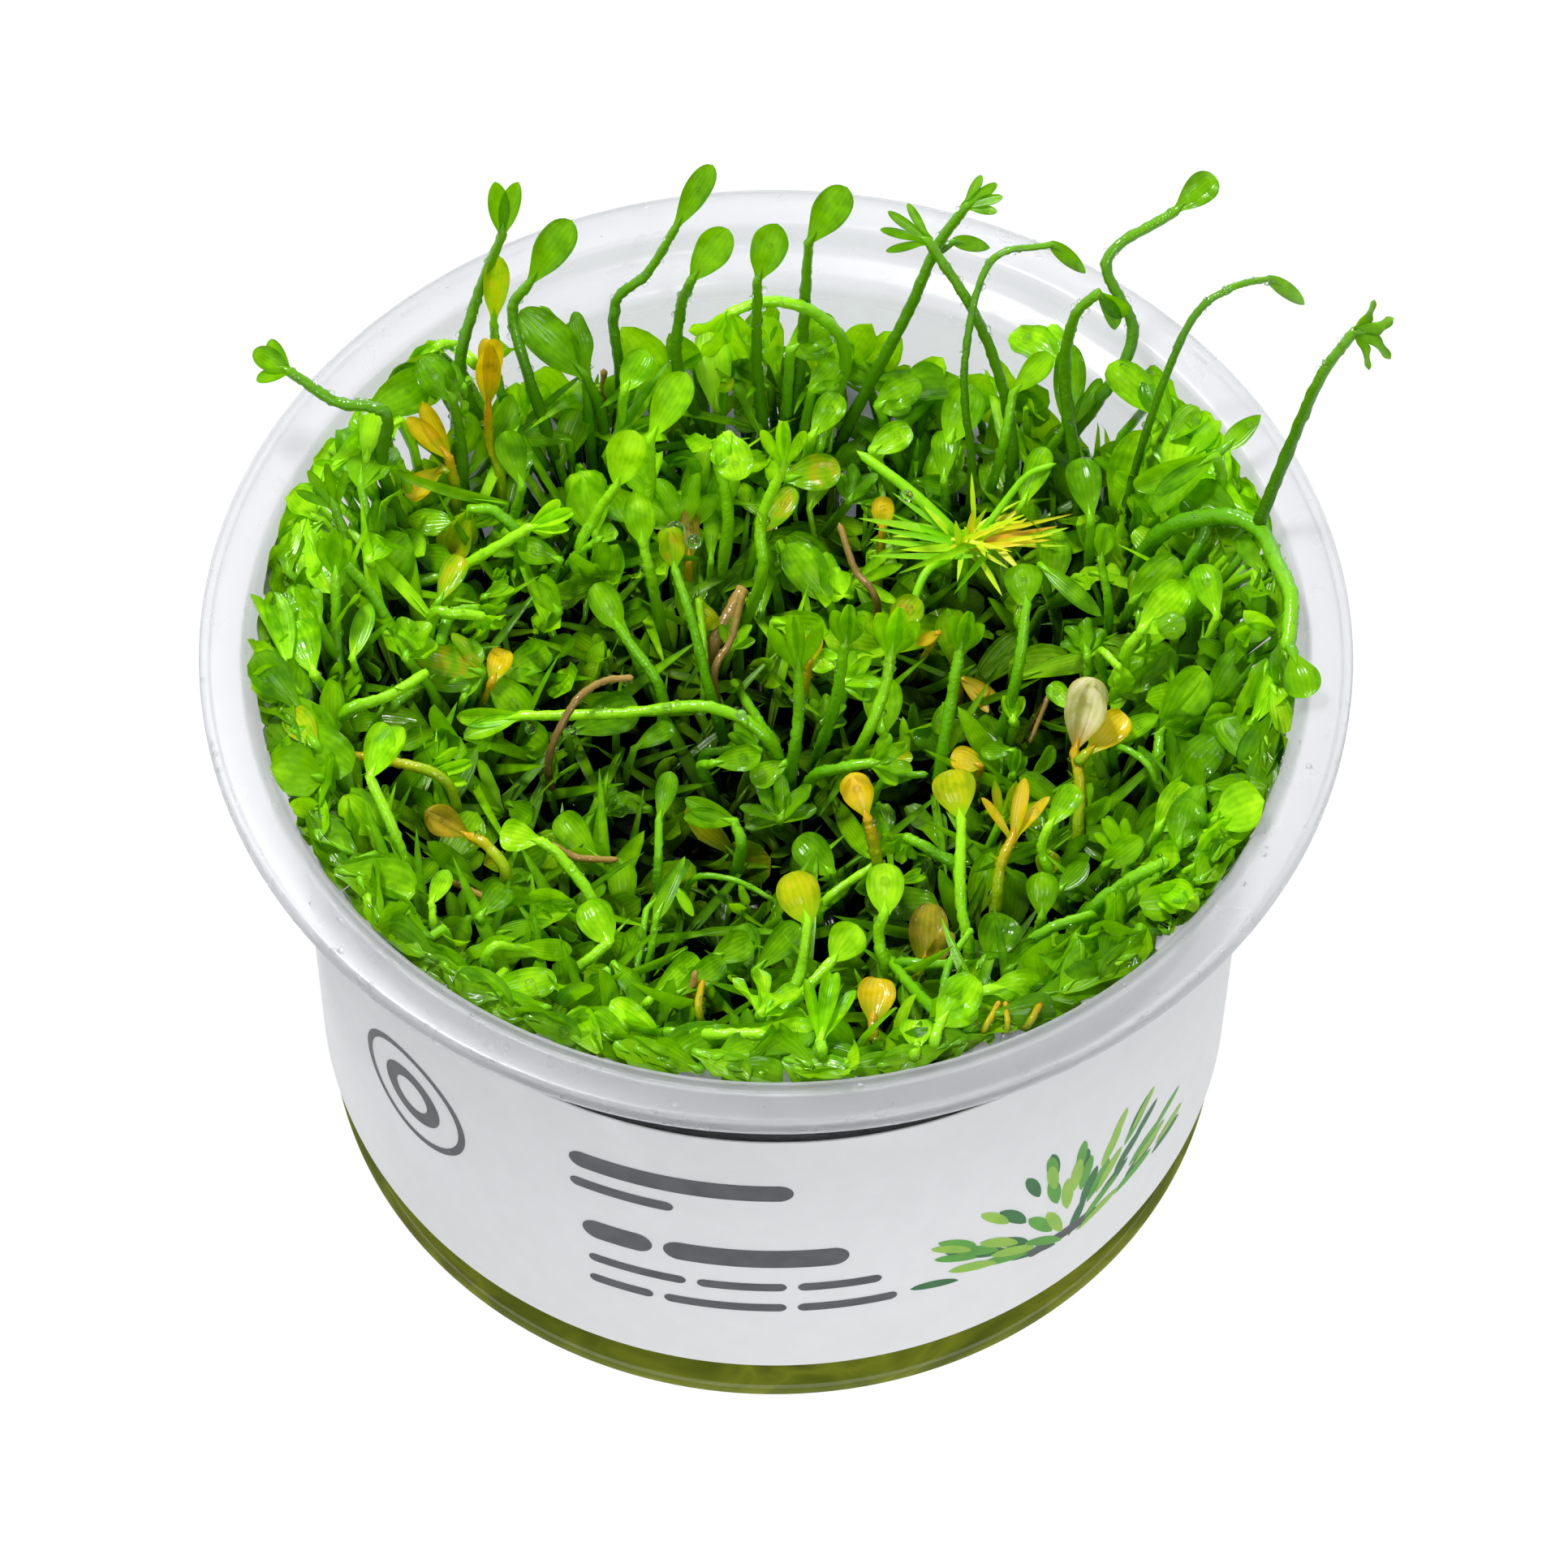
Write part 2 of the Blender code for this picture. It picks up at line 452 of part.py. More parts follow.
def mound_mesh(name, x, y, seed):
    """A crown of leaf tips on a low mound, from the root mat up."""
    top = mound_top(x, y)
    tall = top - MOUND_FOOT
    rings = [(0.55, 0.0, 0.0), (1.0, 0.5, 0.0), (0.98, 0.9, 2.4), (0.5, 1.0, 2.6)]
    points, faces = [], []
    for k, (out, share, peak) in enumerate(rings):
        for i in range(MOUND_STEPS):
            angle = 2 * math.pi * (i + 0.5 * (k == 3) + 0.13 * seed) / MOUND_STEPS
            high = 1 if (i + k) % 2 else -1
            reach = MOUND_RADIUS * out * (1.0 - 0.04 * (1 + math.sin(2.4 * i + seed + k)))
            height = MOUND_FOOT + tall * share + peak * high
            points.append((x + reach * math.cos(angle), y + reach * math.sin(angle), height))
    for k in range(len(rings) - 1):
        for i in range(MOUND_STEPS):
            a, b = k * MOUND_STEPS + i, k * MOUND_STEPS + (i + 1) % MOUND_STEPS
            faces.append((a, b, b + MOUND_STEPS, a + MOUND_STEPS))
    points += [(x, y, MOUND_FOOT), (x, y, top + 1.0)]
    last = (len(rings) - 1) * MOUND_STEPS
    for i in range(MOUND_STEPS):
        j = (i + 1) % MOUND_STEPS
        faces.append((j, i, len(points) - 2))
        faces.append((last + i, last + j, len(points) - 1))
    mesh = mesh_from(name, points, faces)
    turn_faces_out(mesh)
    return mesh


def rooted(route, x, y):
    """A route with a start deep in the mound at (x, y) added below it."""
    foot = route[0]
    depth = min(foot.z, mound_top(x, y)) - ROOT_DEPTH
    return [Vector((x + 0.45 * (foot.x - x), y + 0.45 * (foot.y - y), depth))] + route


def join_shells(name, shells):
    points, faces = [], []
    for shell_points, shell_faces in shells:
        start = len(points)
        points += [tuple(p) for p in shell_points]
        faces += [tuple(start + i for i in face) for face in shell_faces]
    mesh = mesh_from(name, points, faces)
    turn_faces_out(mesh)
    return mesh


def fuse(target, shells):
    """Joins closed shells to an object with a Boolean union."""
    helper = add_object(target.name + "_sprouts", join_shells(target.name + "_sprouts", shells))
    helper.hide_render = True
    helper.display_type = "WIRE"
    union = target.modifiers.new("fuse", "BOOLEAN")
    union.operation = "UNION"
    union.object = helper
    union.solver = "EXACT"
    union.use_self = True


def make_plantlets(material):
    places = plantlet_places()
    shells = {name: [] for name, _, _ in places}
    home = places[0][0]
    for origin, form, width, route in SPROUTS:
        points = [Vector(p) for p in route]
        if origin == "mound":
            home, x, y = min(places, key=lambda p: math.hypot(p[1] - points[0].x, p[2] - points[0].y))
            points = rooted(points, x, y)
        if form in PARTED_LEAVES:
            add_sprout(shells[home], points[:-1], STALK_RADIUS, "none", width)
            add_parted_leaf(shells[home], form, points[-2], points[-1], width)
        else:
            radius = width / 2 if form == "none" else STALK_RADIUS
            add_sprout(shells[home], points, radius, form, width)
    for seed, (name, x, y) in enumerate(places):
        plantlet = add_object(name, mound_mesh(name, x, y, seed), material)
        fuse(plantlet, shells[name])


def make_needle_tuft(material):
    """A rosette of needle leaves on a stem that rises between the plantlets."""
    heart = Vector(TUFT_HEART)
    foot = Vector((heart.x, heart.y, MAT_TOP + MAT_RIPPLE + GAP))
    tips = [Vector(tip) for tip in TUFT_TIPS]
    rim = []
    for tip, following in zip(tips, tips[1:] + tips[:1]):
        between = ((tip - heart).normalized() + (following - heart).normalized()).normalized()
        rim += [tip, heart + between * 1.9]
    star, stem = [], []
    add_star(star, heart, rim, Vector((0.0, -0.3, 0.9)))
    add_sprout(stem, [foot, heart.lerp(foot, 0.5), heart], TUFT_STEM_RADIUS, "none", 0.0)
    tuft = add_object("needle_tuft", join_shells("needle_tuft", stem), material)
    fuse(tuft, star)


def main():
    clear_scene()
    make_cup(make_material("clear_plastic", COLOURS["clear"], 0.12))
    make_label(make_material("label_paper", COLOURS["paper"], 0.45))
    make_gel(make_material("agar_gel", COLOURS["gel"], 0.25))
    make_root_mat(make_material("root_mat", COLOURS["mat"], 0.8))
    make_plantlets(make_material("leaf", COLOURS["leaf"], 0.35))
    make_needle_tuft(make_material("needle_leaf", COLOURS["tuft"], 0.4))


main()
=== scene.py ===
import math

import bpy
import numpy as np
from mathutils import Matrix, Vector


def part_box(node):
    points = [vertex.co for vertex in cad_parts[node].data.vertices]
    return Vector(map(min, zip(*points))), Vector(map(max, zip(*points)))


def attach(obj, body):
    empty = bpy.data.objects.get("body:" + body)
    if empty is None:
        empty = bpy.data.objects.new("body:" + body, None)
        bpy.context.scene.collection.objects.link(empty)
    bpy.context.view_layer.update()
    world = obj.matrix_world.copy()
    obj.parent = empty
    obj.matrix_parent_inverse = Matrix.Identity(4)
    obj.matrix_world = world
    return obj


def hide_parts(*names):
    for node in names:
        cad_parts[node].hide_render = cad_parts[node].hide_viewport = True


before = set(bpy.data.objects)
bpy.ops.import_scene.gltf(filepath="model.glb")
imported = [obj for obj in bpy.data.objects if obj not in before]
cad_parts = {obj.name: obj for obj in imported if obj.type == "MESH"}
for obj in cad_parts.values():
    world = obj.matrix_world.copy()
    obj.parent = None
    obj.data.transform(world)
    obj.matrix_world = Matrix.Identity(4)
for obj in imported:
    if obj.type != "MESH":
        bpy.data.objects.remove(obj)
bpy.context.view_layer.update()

# Dwarf water clover in a clear culture cup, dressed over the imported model
# Lengths in this script are in millimetres, and mm turns them to metres.
mm = 0.001


def linear(hexColour):
    # an sRGB hex value as the linear colour that shaders take
    parts = [int(hexColour[i:i + 2], 16) / 255 for i in (1, 3, 5)]
    return tuple(p / 12.92 if p <= 0.04045 else ((p + 0.055) / 1.055) ** 2.4 for p in parts) + (1.0,)


def addNode(tree, kind, inputs=None, **settings):
    # one node with its settings, its fixed values and the links into it
    node = tree.nodes.new(kind)
    for name, value in settings.items():
        setattr(node, name, value)
    for key, value in (inputs or {}).items():
        if isinstance(value, bpy.types.NodeSocket):
            tree.links.new(value, node.inputs[key])
        else:
            node.inputs[key].default_value = value
    return node


def newMaterial(name):
    material = bpy.data.materials.new(name)
    material.use_nodes = True
    tree = material.node_tree
    tree.nodes.clear()
    return material, tree, addNode(tree, "ShaderNodeOutputMaterial")


def fillRamp(ramp, stops):
    # stops are (place, hex colour) from left to right
    elements = ramp.color_ramp.elements
    while len(elements) < len(stops):
        elements.new(0.5)
    for element, (place, hexColour) in zip(elements, stops):
        element.position = place
        element.color = linear(hexColour)


def perMm(size):
    # the texture scale that gives a pattern of this size in millimetres
    return 1 / (size * mm)


def letThrough(tree, output, skin, colour, share):
    # thin or milky stuff: its skin, and the share of light that comes through it in its own colour
    glow = addNode(tree, "ShaderNodeBsdfTranslucent", {"Color": colour})
    both = addNode(tree, "ShaderNodeMixShader", {0: share, 1: skin.outputs[0], 2: glow.outputs[0]})
    tree.links.new(both.outputs[0], output.inputs["Surface"])


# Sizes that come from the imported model
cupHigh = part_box("cup")[1]
rimRadius = cupHigh.x / mm
cupHeight = cupHigh.z / mm
labelLow, labelHigh = (corner.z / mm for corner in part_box("label"))
gelLow, gelHigh = (corner.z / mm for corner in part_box("gel"))
matLow, matHigh = (corner.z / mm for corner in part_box("root_mat"))
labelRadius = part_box("label")[1].x / mm

# Camera: the photo looks down at about 55 degrees through a long lens
cameraSetup = {
    "place": (0.8, -324.84, 509.28),
    "down": 55.43,       # degrees below level
    "roll": 0.57,
    "view": 14.0,        # degrees across the square frame
    "clip": (0.01, 5.0),  # metres
}


def makeCamera():
    down = math.radians(cameraSetup["down"])
    look = Vector((0, math.cos(down), -math.sin(down)))
    plainUp = Vector((0, math.sin(down), math.cos(down)))
    roll = math.radians(cameraSetup["roll"])
    right = Vector((1, 0, 0)) * math.cos(roll) + plainUp * math.sin(roll)
    up = plainUp * math.cos(roll) - Vector((1, 0, 0)) * math.sin(roll)
    data = bpy.data.cameras.new("camera")
    data.sensor_fit = "HORIZONTAL"
    data.angle = math.radians(cameraSetup["view"])
    data.clip_start, data.clip_end = cameraSetup["clip"]
    camera = bpy.data.objects.new("camera", data)
    camera.matrix_world = Matrix((right, up, -look)).transposed().to_4x4()
    camera.location = Vector(cameraSetup["place"]) * mm
    bpy.context.scene.collection.objects.link(camera)
    bpy.context.scene.camera = camera


# Light: a lit white table in a white tent with bright sides, and three large soft lamps
studio = {
    "tentTop": 0.36,
    "tentSide": 1.0,
    "tentFade": (0.1, 0.75),   # from the side's brightness to the top's, as the sine of the height
    "lamps": [
        {"name": "topLamp", "place": (-140, 120, 520), "size": 100, "power": 3.2},
        {"name": "frontLamp", "place": (170, -420, 420), "size": 160, "power": 1.1},
        {"name": "backLamp", "place": (60, 460, 300), "size": 220, "power": 0.9},
    ],
    "table": ("#fdfdfd", "#ffffff"),
    "tableSize": 3000,
    "mottleSize": 60,
}


def makeStudio():
    scene = bpy.context.scene
    scene.view_settings.view_transform = "Standard"
    world = bpy.data.worlds.new("tent")
    world.use_nodes = True
    tree = world.node_tree
    tree.nodes.clear()
    place = addNode(tree, "ShaderNodeTexCoord")
    height = addNode(tree, "ShaderNodeSeparateXYZ", {0: place.outputs["Generated"]})
    low, high = studio["tentFade"]
    strength = addNode(tree, "ShaderNodeMapRange", {
        "Value": height.outputs["Z"], "From Min": low, "From Max": high,
        "To Min": studio["tentSide"], "To Max": studio["tentTop"],
    })
    sky = addNode(tree, "ShaderNodeBackground", {
        "Color": (1, 1, 1, 1), "Strength": strength.outputs["Result"],
    })
    addNode(tree, "ShaderNodeOutputWorld", {"Surface": sky.outputs[0]})
    scene.world = world
    for lamp in studio["lamps"]:
        data = bpy.data.lights.new(lamp["name"], "AREA")
        data.shape = "DISK"
        data.size = lamp["size"] * mm
        data.energy = lamp["power"]
        made = bpy.data.objects.new(lamp["name"], data)
        made.location = Vector(lamp["place"]) * mm
        made.rotation_euler = (-Vector(lamp["place"])).to_track_quat("-Z", "Y").to_euler()
        scene.collection.objects.link(made)
    half = studio["tableSize"] * mm / 2
    mesh = bpy.data.meshes.new("floor")
    corners = [(-half, -half, 0), (half, -half, 0), (half, half, 0), (-half, half, 0)]
    mesh.from_pydata(corners, [], [(0, 1, 2, 3)])
    floor = bpy.data.objects.new("floor", mesh)
    scene.collection.objects.link(floor)
    mesh.materials.append(litTable())


def litTable():
    # opal glass lit from below: it takes the shadows away, as in the photo
    material, tree, output = newMaterial("opalGlass")
    place = addNode(tree, "ShaderNodeTexCoord")
    mottle = addNode(tree, "ShaderNodeTexNoise", {
        "Vector": place.outputs["Object"], "Scale": perMm(studio["mottleSize"]),
    })
    ramp = addNode(tree, "ShaderNodeValToRGB", {"Fac": mottle.outputs["Fac"]})
    fillRamp(ramp, [(0.3, studio["table"][0]), (0.7, studio["table"][1])])
    glass = addNode(tree, "ShaderNodeBsdfPrincipled", {
        "Base Color": (0.02, 0.02, 0.02, 1), "Roughness": 0.9, "Specular IOR Level": 0.0,
        "Emission Color": ramp.outputs["Color"], "Emission Strength": 1.0,
    })
    tree.links.new(glass.outputs["BSDF"], output.inputs["Surface"])
    return material


# Clear polypropylene, injection moulded: a see-through wall, and a milky rim that reads pale grey
clearPlastic = {
    "tint": "#f1f2f4",
    "haze": "#dedee3",
    "wallHaze": 0.04,      # share of haze in the wall
    "rimHaze": 0.2,        # and in the ledge and the rim
    "wallOpen": 0.8,       # share of what is left that passes straight on, in the wall
    "rimOpen": 0.4,        # and in the ledge and the rim
    "rimFade": (55.5, 58.0),   # heights between which the wall turns into the milky rim
    "footHaze": 0.88,      # the gel scatters its own colour into the foot of the wall
    "footFade": 1.0,       # how far above and below the label's foot that haze starts
    "footStops": [(0.3, "#64701c"), (0.46, "#7a8722"), (0.58, "#96a02c"), (0.66, "#7f8a26"),
                  (0.76, "#70602a")],
    "cloudSize": 11.0,     # clouds in the gel, as they show in the foot of the wall
    "roughness": 0.28,
    "worn": (0.85, 1.2),   # the same surface, smoother and rougher in places
    "ior": 1.49,
    "rippleSize": 14.0,    # slow flow marks from the mould
    "speckSize": 3.0,      # drawn coarser than the real grain of the mould, so that it shows
}


def clearPlasticMaterial():
    look = clearPlastic
    material, tree, output = newMaterial("clearPolypropylene")
    place = addNode(tree, "ShaderNodeTexCoord")
    ripple = addNode(tree, "ShaderNodeTexNoise", {
        "Vector": place.outputs["Object"], "Scale": perMm(look["rippleSize"]), "Detail": 2.0,
    })
    speck = addNode(tree, "ShaderNodeTexNoise", {
        "Vector": place.outputs["Object"], "Scale": perMm(look["speckSize"]), "Detail": 2.0,
    })
    relief = addNode(tree, "ShaderNodeBump", {
        "Height": ripple.outputs["Fac"], "Strength": 0.08, "Distance": 0.3 * mm,
    })
    smoother, rougher = (look["roughness"] * share for share in look["worn"])
    gloss = addNode(tree, "ShaderNodeMapRange", {
        "Value": speck.outputs["Fac"], "To Min": smoother, "To Max": rougher,
    })
    clear = addNode(tree, "ShaderNodeBsdfPrincipled", {
        "Base Color": linear(look["tint"]), "Roughness": gloss.outputs["Result"], "IOR": look["ior"],
        "Transmission Weight": 1.0, "Normal": relief.outputs["Normal"],
    })
    height = addNode(tree, "ShaderNodeSeparateXYZ", {0: place.outputs["Object"]})
    wallEnd, rimStart = look["rimFade"]
    upper = addNode(tree, "ShaderNodeMapRange", {
        "Value": height.outputs["Z"], "From Min": wallEnd * mm, "From Max": rimStart * mm,
    })
    foot = addNode(tree, "ShaderNodeMapRange", {
        "Value": height.outputs["Z"], "From Min": (labelLow + look["footFade"]) * mm,
        "From Max": (labelLow - look["footFade"]) * mm,
    })
    openShare = addNode(tree, "ShaderNodeMapRange", {
        "Value": upper.outputs["Result"], "To Min": look["wallOpen"], "To Max": look["rimOpen"],
    })
    upperHaze = addNode(tree, "ShaderNodeMapRange", {
        "Value": upper.outputs["Result"], "To Min": look["wallHaze"], "To Max": look["rimHaze"],
    })
    hazeShare = addNode(tree, "ShaderNodeMapRange", {
        "Value": foot.outputs["Result"], "To Min": upperHaze.outputs["Result"], "To Max": look["footHaze"],
    })
    cloud = addNode(tree, "ShaderNodeTexNoise", {
        "Vector": place.outputs["Object"], "Scale": perMm(look["cloudSize"]), "Detail": 3.0,
        "Distortion": 1.0,
    })
    footTint = addNode(tree, "ShaderNodeValToRGB", {"Fac": cloud.outputs["Fac"]})
    fillRamp(footTint, look["footStops"])
    hazeTint = addNode(tree, "ShaderNodeMix", {
        0: foot.outputs["Result"], 6: linear(look["haze"]), 7: footTint.outputs["Color"],
    }, data_type="RGBA")
    straight = addNode(tree, "ShaderNodeBsdfTransparent", {"Color": linear(look["tint"])})
    body = addNode(tree, "ShaderNodeMixShader", {
        0: openShare.outputs["Result"], 1: clear.outputs[0], 2: straight.outputs[0],
    })
    hazeThrough = addNode(tree, "ShaderNodeBsdfTranslucent", {"Color": hazeTint.outputs[2]})
    hazeBack = addNode(tree, "ShaderNodeBsdfDiffuse", {"Color": hazeTint.outputs[2]})
    haze = addNode(tree, "ShaderNodeMixShader", {0: 0.5, 1: hazeThrough.outputs[0], 2: hazeBack.outputs[0]})
    mixed = addNode(tree, "ShaderNodeMixShader", {
        0: hazeShare.outputs["Result"], 1: body.outputs[0], 2: haze.outputs[0],
    })
    tree.links.new(mixed.outputs[0], output.inputs["Surface"])
    return material


# Each piece is gathered as quads in numpy arrays and made into one mesh
class Gather:
    def __init__(self):
        self.points, self.faces, self.tones, self.slots = [], [], [], []
        self.count = 0

    def add(self, points, faces, tones, slot):
        # the fourth tone is the light share that sets the painted shade
        tones[:, 3] = lightShare(points)
        self.points.append(points)
        self.faces.append(faces + self.count)
        self.tones.append(tones)
        self.slots.append(np.full(len(faces), slot))
        self.count += len(points)

    def toObject(self, name, materials):
        points, faces = np.concatenate(self.points), np.concatenate(self.faces)
        mesh = bpy.data.meshes.new(name)
        mesh.vertices.add(len(points))
        mesh.vertices.foreach_set("co", (points * mm).ravel())
        mesh.loops.add(faces.size)
        mesh.loops.foreach_set("vertex_index", faces.ravel())
        mesh.polygons.add(len(faces))
        mesh.polygons.foreach_set("loop_start", np.arange(len(faces)) * 4)
        mesh.update(calc_edges=True)
        for material in materials:
            mesh.materials.append(material)
        mesh.polygons.foreach_set("material_index", np.concatenate(self.slots))
        tone = mesh.color_attributes.new("tone", "FLOAT_COLOR", "POINT")
        tone.data.foreach_set("color", np.concatenate(self.tones).ravel())
        mesh.shade_smooth()
        made = bpy.data.objects.new(name, mesh)
        bpy.context.scene.collection.objects.link(made)
        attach(made, "root")
        return made

    def addPlain(self, points, slot=0, closed=False):
        # a grid of points whose material reads no tone
        rows, columns = points.shape[:2]
        still = np.zeros((rows, columns))
        self.add(points.reshape(-1, 3), gridFaces(rows, columns, closed), toneRows(still, still, 0.5), slot)


def gridFaces(rows, columns, closed=False):
    # quads of a grid of points, row by row; a closed grid joins its last column to its first
    row = np.arange(rows - 1)[:, None] * columns
    column = np.arange(columns if closed else columns - 1)[None, :]
    following = (column + 1) % columns
    quads = [row + column, row + following, row + columns + following, row + columns + column]
    return np.stack(quads, axis=-1).reshape(-1, 4)


def lightShare(points):
    # how much light reaches a point between the leaves, for the shade painted into their colour: 1 at the
    # canopy's top and 0 deep below it
    top = canopyTop(points[:, 0], points[:, 1])
    dark = shadeDepth["dark"] + shadeDepth["behind"] * shareBehind(points[:, 1])
    return np.clip((points[:, 2] - top + dark) / (dark - shadeDepth["clear"]), 0, 1)


def toneRows(along, across, chance):
    # what a material reads at each point: place along, place across, the piece's own random share, and the
    # light share for its painted shade
    tones = np.empty((along.size, 4))
    tones[:, 0], tones[:, 1] = along.ravel(), across.ravel()
    tones[:, 2], tones[:, 3] = chance, 1.0
    return tones


def unit(vector):
    return vector / np.linalg.norm(vector, axis=-1, keepdims=True)


def smoothRoute(route, count):
    # a rounded way through hand-placed points
    knots = np.asarray(route, float)
    padded = np.vstack([2 * knots[0] - knots[1], knots, 2 * knots[-1] - knots[-2]])
    place = np.linspace(0, len(knots) - 1, count)
    at = np.minimum(place.astype(int), len(knots) - 2)
    t = (place - at)[:, None]
    a, b, c, d = padded[at], padded[at + 1], padded[at + 2], padded[at + 3]
    square = (2 * a - 5 * b + 4 * c - d) * t ** 2
    return 0.5 * (2 * b + (c - a) * t + square + (3 * b - a - 3 * c + d) * t ** 3)


def addTube(gather, route, radii, slot, chance, sides=6, rough=0.0, draw=None):
    # a round stem along a route, pinched shut at both ends
    path = np.asarray(route, float)
    along = unit(np.gradient(path, axis=0))
    aside = np.eye(3)[np.abs(along).max(axis=0).argmin()]
    side = unit(np.cross(along, aside))
    up = np.cross(along, side)
    turn = np.linspace(0, 2 * math.pi, sides, endpoint=False)
    size = np.broadcast_to(np.asarray(radii, float), (len(path),)).copy()[:, None]
    size = size * np.ones((1, sides))
    if rough:
        size *= 1 + rough * draw.standard_normal(size.shape)
    size[0], size[-1] = 0.01, 0.01
    ring = np.cos(turn)[None, :, None] * side[:, None] + np.sin(turn)[None, :, None] * up[:, None]
    points = path[:, None] + ring * size[..., None]
    share = np.repeat(np.linspace(0, 1, len(path))[:, None], sides, axis=1)
    tones = toneRows(share, share * 0, chance)
    gather.add(points.reshape(-1, 3), gridFaces(len(path), sides, True), tones, slot)


# How wide a blade is along its length: s ** rise * (1 - s) ** fall, scaled to 1 at its widest
bladeShapes = {
    "spoon": (1.15, 0.52),
    "round": (0.75, 0.5),
    "grass": (0.45, 0.8),
    "lance": (0.95, 0.7),
    "petal": (0.9, 0.56),
    "bulb": (1.35, 0.62),
}
# The oval crease of a grown leaf, as shares of the blade: its middle, half length, half width and softness
crease = {"middle": 0.6, "long": 0.26, "wide": 0.27, "soft": 0.35}
edgeRipples = 11.0         # how fast the edges wave along a blade, in radians
tipRows = 1.4              # above 1, rows of points stand closer towards the tip


def addBlade(gather, foot, aim, face, length, width, shape, slot, chance, wrap=30, bend=0, ring=0.0, wave=0.0,
             thick=0.0, rows=9, columns=5):
    # One leaf blade from its foot: wrap curls it across its width and bend curls it along its length,
    # both in degrees. ring raises an oval crease, and wave ripples its edges.
    rise, fall = bladeShapes[shape]
    widest = rise / (rise + fall)
    peak = widest ** rise * (1 - widest) ** fall
    s = 1 - (1 - np.linspace(0, 1, rows)) ** tipRows
    t = np.linspace(-1, 1, columns)
    half = np.maximum(s ** rise * (1 - s) ** fall / peak, 0.02) * width / 2
    half = np.maximum(half, thick * (1 - s) ** 2)
    side = np.cross(aim, face)
    turn = math.radians(bend) * s
    step = np.diff(s, prepend=0) * length
    middle = np.cumsum(step * np.cos(turn))[:, None] * aim - np.cumsum(step * np.sin(turn))[:, None] * face
    normal = np.cos(turn)[:, None] * face + np.sin(turn)[:, None] * aim
    arc = math.radians(max(wrap, 1)) / 2
    lift = half[:, None] * (1 - np.cos(arc * t))[None, :] / arc
    aside = half[:, None] * np.sin(arc * t)[None, :] / arc
    if ring:
        oval = np.hypot((s[:, None] - crease["middle"]) / crease["long"],
                        t[None, :] * half[:, None] / (width * crease["wide"]))
        lift = lift - ring * np.exp(-((oval - 1) / crease["soft"]) ** 2)
    if wave:
        ripple = np.sin(s * edgeRipples + chance * 6)[:, None]
        lift = lift + wave * width * ripple * t[None, :] ** 2 * (half[:, None] / width)
    points = foot + middle[:, None] + aside[..., None] * side + lift[..., None] * normal[:, None]
    across = np.broadcast_to(t[None, :] * 0.5 + 0.5, (rows, columns))
    share = np.broadcast_to(s[:, None], (rows, columns))
    gather.add(points.reshape(-1, 3), gridFaces(rows, columns), toneRows(share, across, chance), slot)
    return points[rows // 2, columns // 2], normal[rows // 2]


# Each leaf form is one or more blades: around the stalk from its lit side, opened from the stalk's line,
# length share and width share. flat 1 lays them in one plane, and flat 0 stands them as a cup.
leafForms = {
    "spoon": {"shape": "spoon", "wrap": 66, "bend": 18, "flat": 1, "ring": 0.14, "wave": 0.14,
              "blades": [(0, 0, 1.0, 1.0)]},
    "disc": {"shape": "round", "wrap": 70, "bend": 24, "flat": 1, "ring": 0.14, "wave": 0.12,
             "blades": [(0, 0, 1.0, 1.0)]},
    "broad": {"shape": "round", "wrap": 40, "bend": 30, "flat": 1, "wave": 0.3,
              "blades": [(0, 0, 1.0, 1.0), (80, 34, 0.7, 0.5)]},
    "lance": {"shape": "lance", "wrap": 55, "bend": 20, "flat": 1, "blades": [(0, 0, 1.0, 1.0)]},
    "blade": {"shape": "grass", "wrap": 50, "bend": 25, "flat": 1, "blades": [(0, 0, 1.0, 1.0)]},
    "bud": {"shape": "bulb", "wrap": 180, "bend": -6, "flat": 0,
            "blades": [(0, 4, 1.0, 1.45), (180, 4, 0.92, 1.45)]},
    "pair": {"shape": "petal", "wrap": 100, "bend": 4, "flat": 0.75,
             "blades": [(90, 9, 1.0, 0.6), (-90, 9, 0.95, 0.62)]},
    "cup": {"shape": "spoon", "wrap": 85, "bend": -18, "flat": 0.6,
            "blades": [(84, 27, 0.86, 0.44), (70, 9, 1.0, 0.48),
                       (-76, 10, 1.0, 0.48), (-84, 28, 0.88, 0.44)]},
    "clover": {"shape": "petal", "wrap": 95, "bend": 18, "flat": 0.7, "wave": 0.3,
               "blades": [(86, 44, 0.8, 0.5), (70, 15, 1.0, 0.54),
                          (-78, 17, 0.97, 0.54), (-94, 46, 0.82, 0.5)]},
    "fan": {"shape": "petal", "wrap": 50, "bend": -6, "flat": 0.75,
            "blades": [(84, 36, 0.85, 0.22), (88, 12, 1.0, 0.24),
                       (-92, 12, 1.0, 0.24), (-84, 38, 0.9, 0.22)]},
    "claw": {"shape": "petal", "wrap": 80, "bend": 10, "flat": 0.6,
             "blades": [(95, 26, 0.9, 0.4), (0, 4, 1.0, 0.5), (-70, 44, 0.85, 0.36)]},
}
bladeRows, bladeColumns = 10, 2   # points along a blade, and to each side of its middle, at fineness 1
leafLap = 0.2              # how far a leaf reaches back over its stalk
lightSide = unit(np.array((0.0, -0.55, 0.84)))   # leaves turn their faces here


def turned(vector, axis, degrees):
    # a vector turned about a unit axis
    angle = math.radians(degrees)
    return (vector * math.cos(angle) + np.cross(axis, vector) * math.sin(angle)
            + axis * np.dot(axis, vector) * (1 - math.cos(angle)))


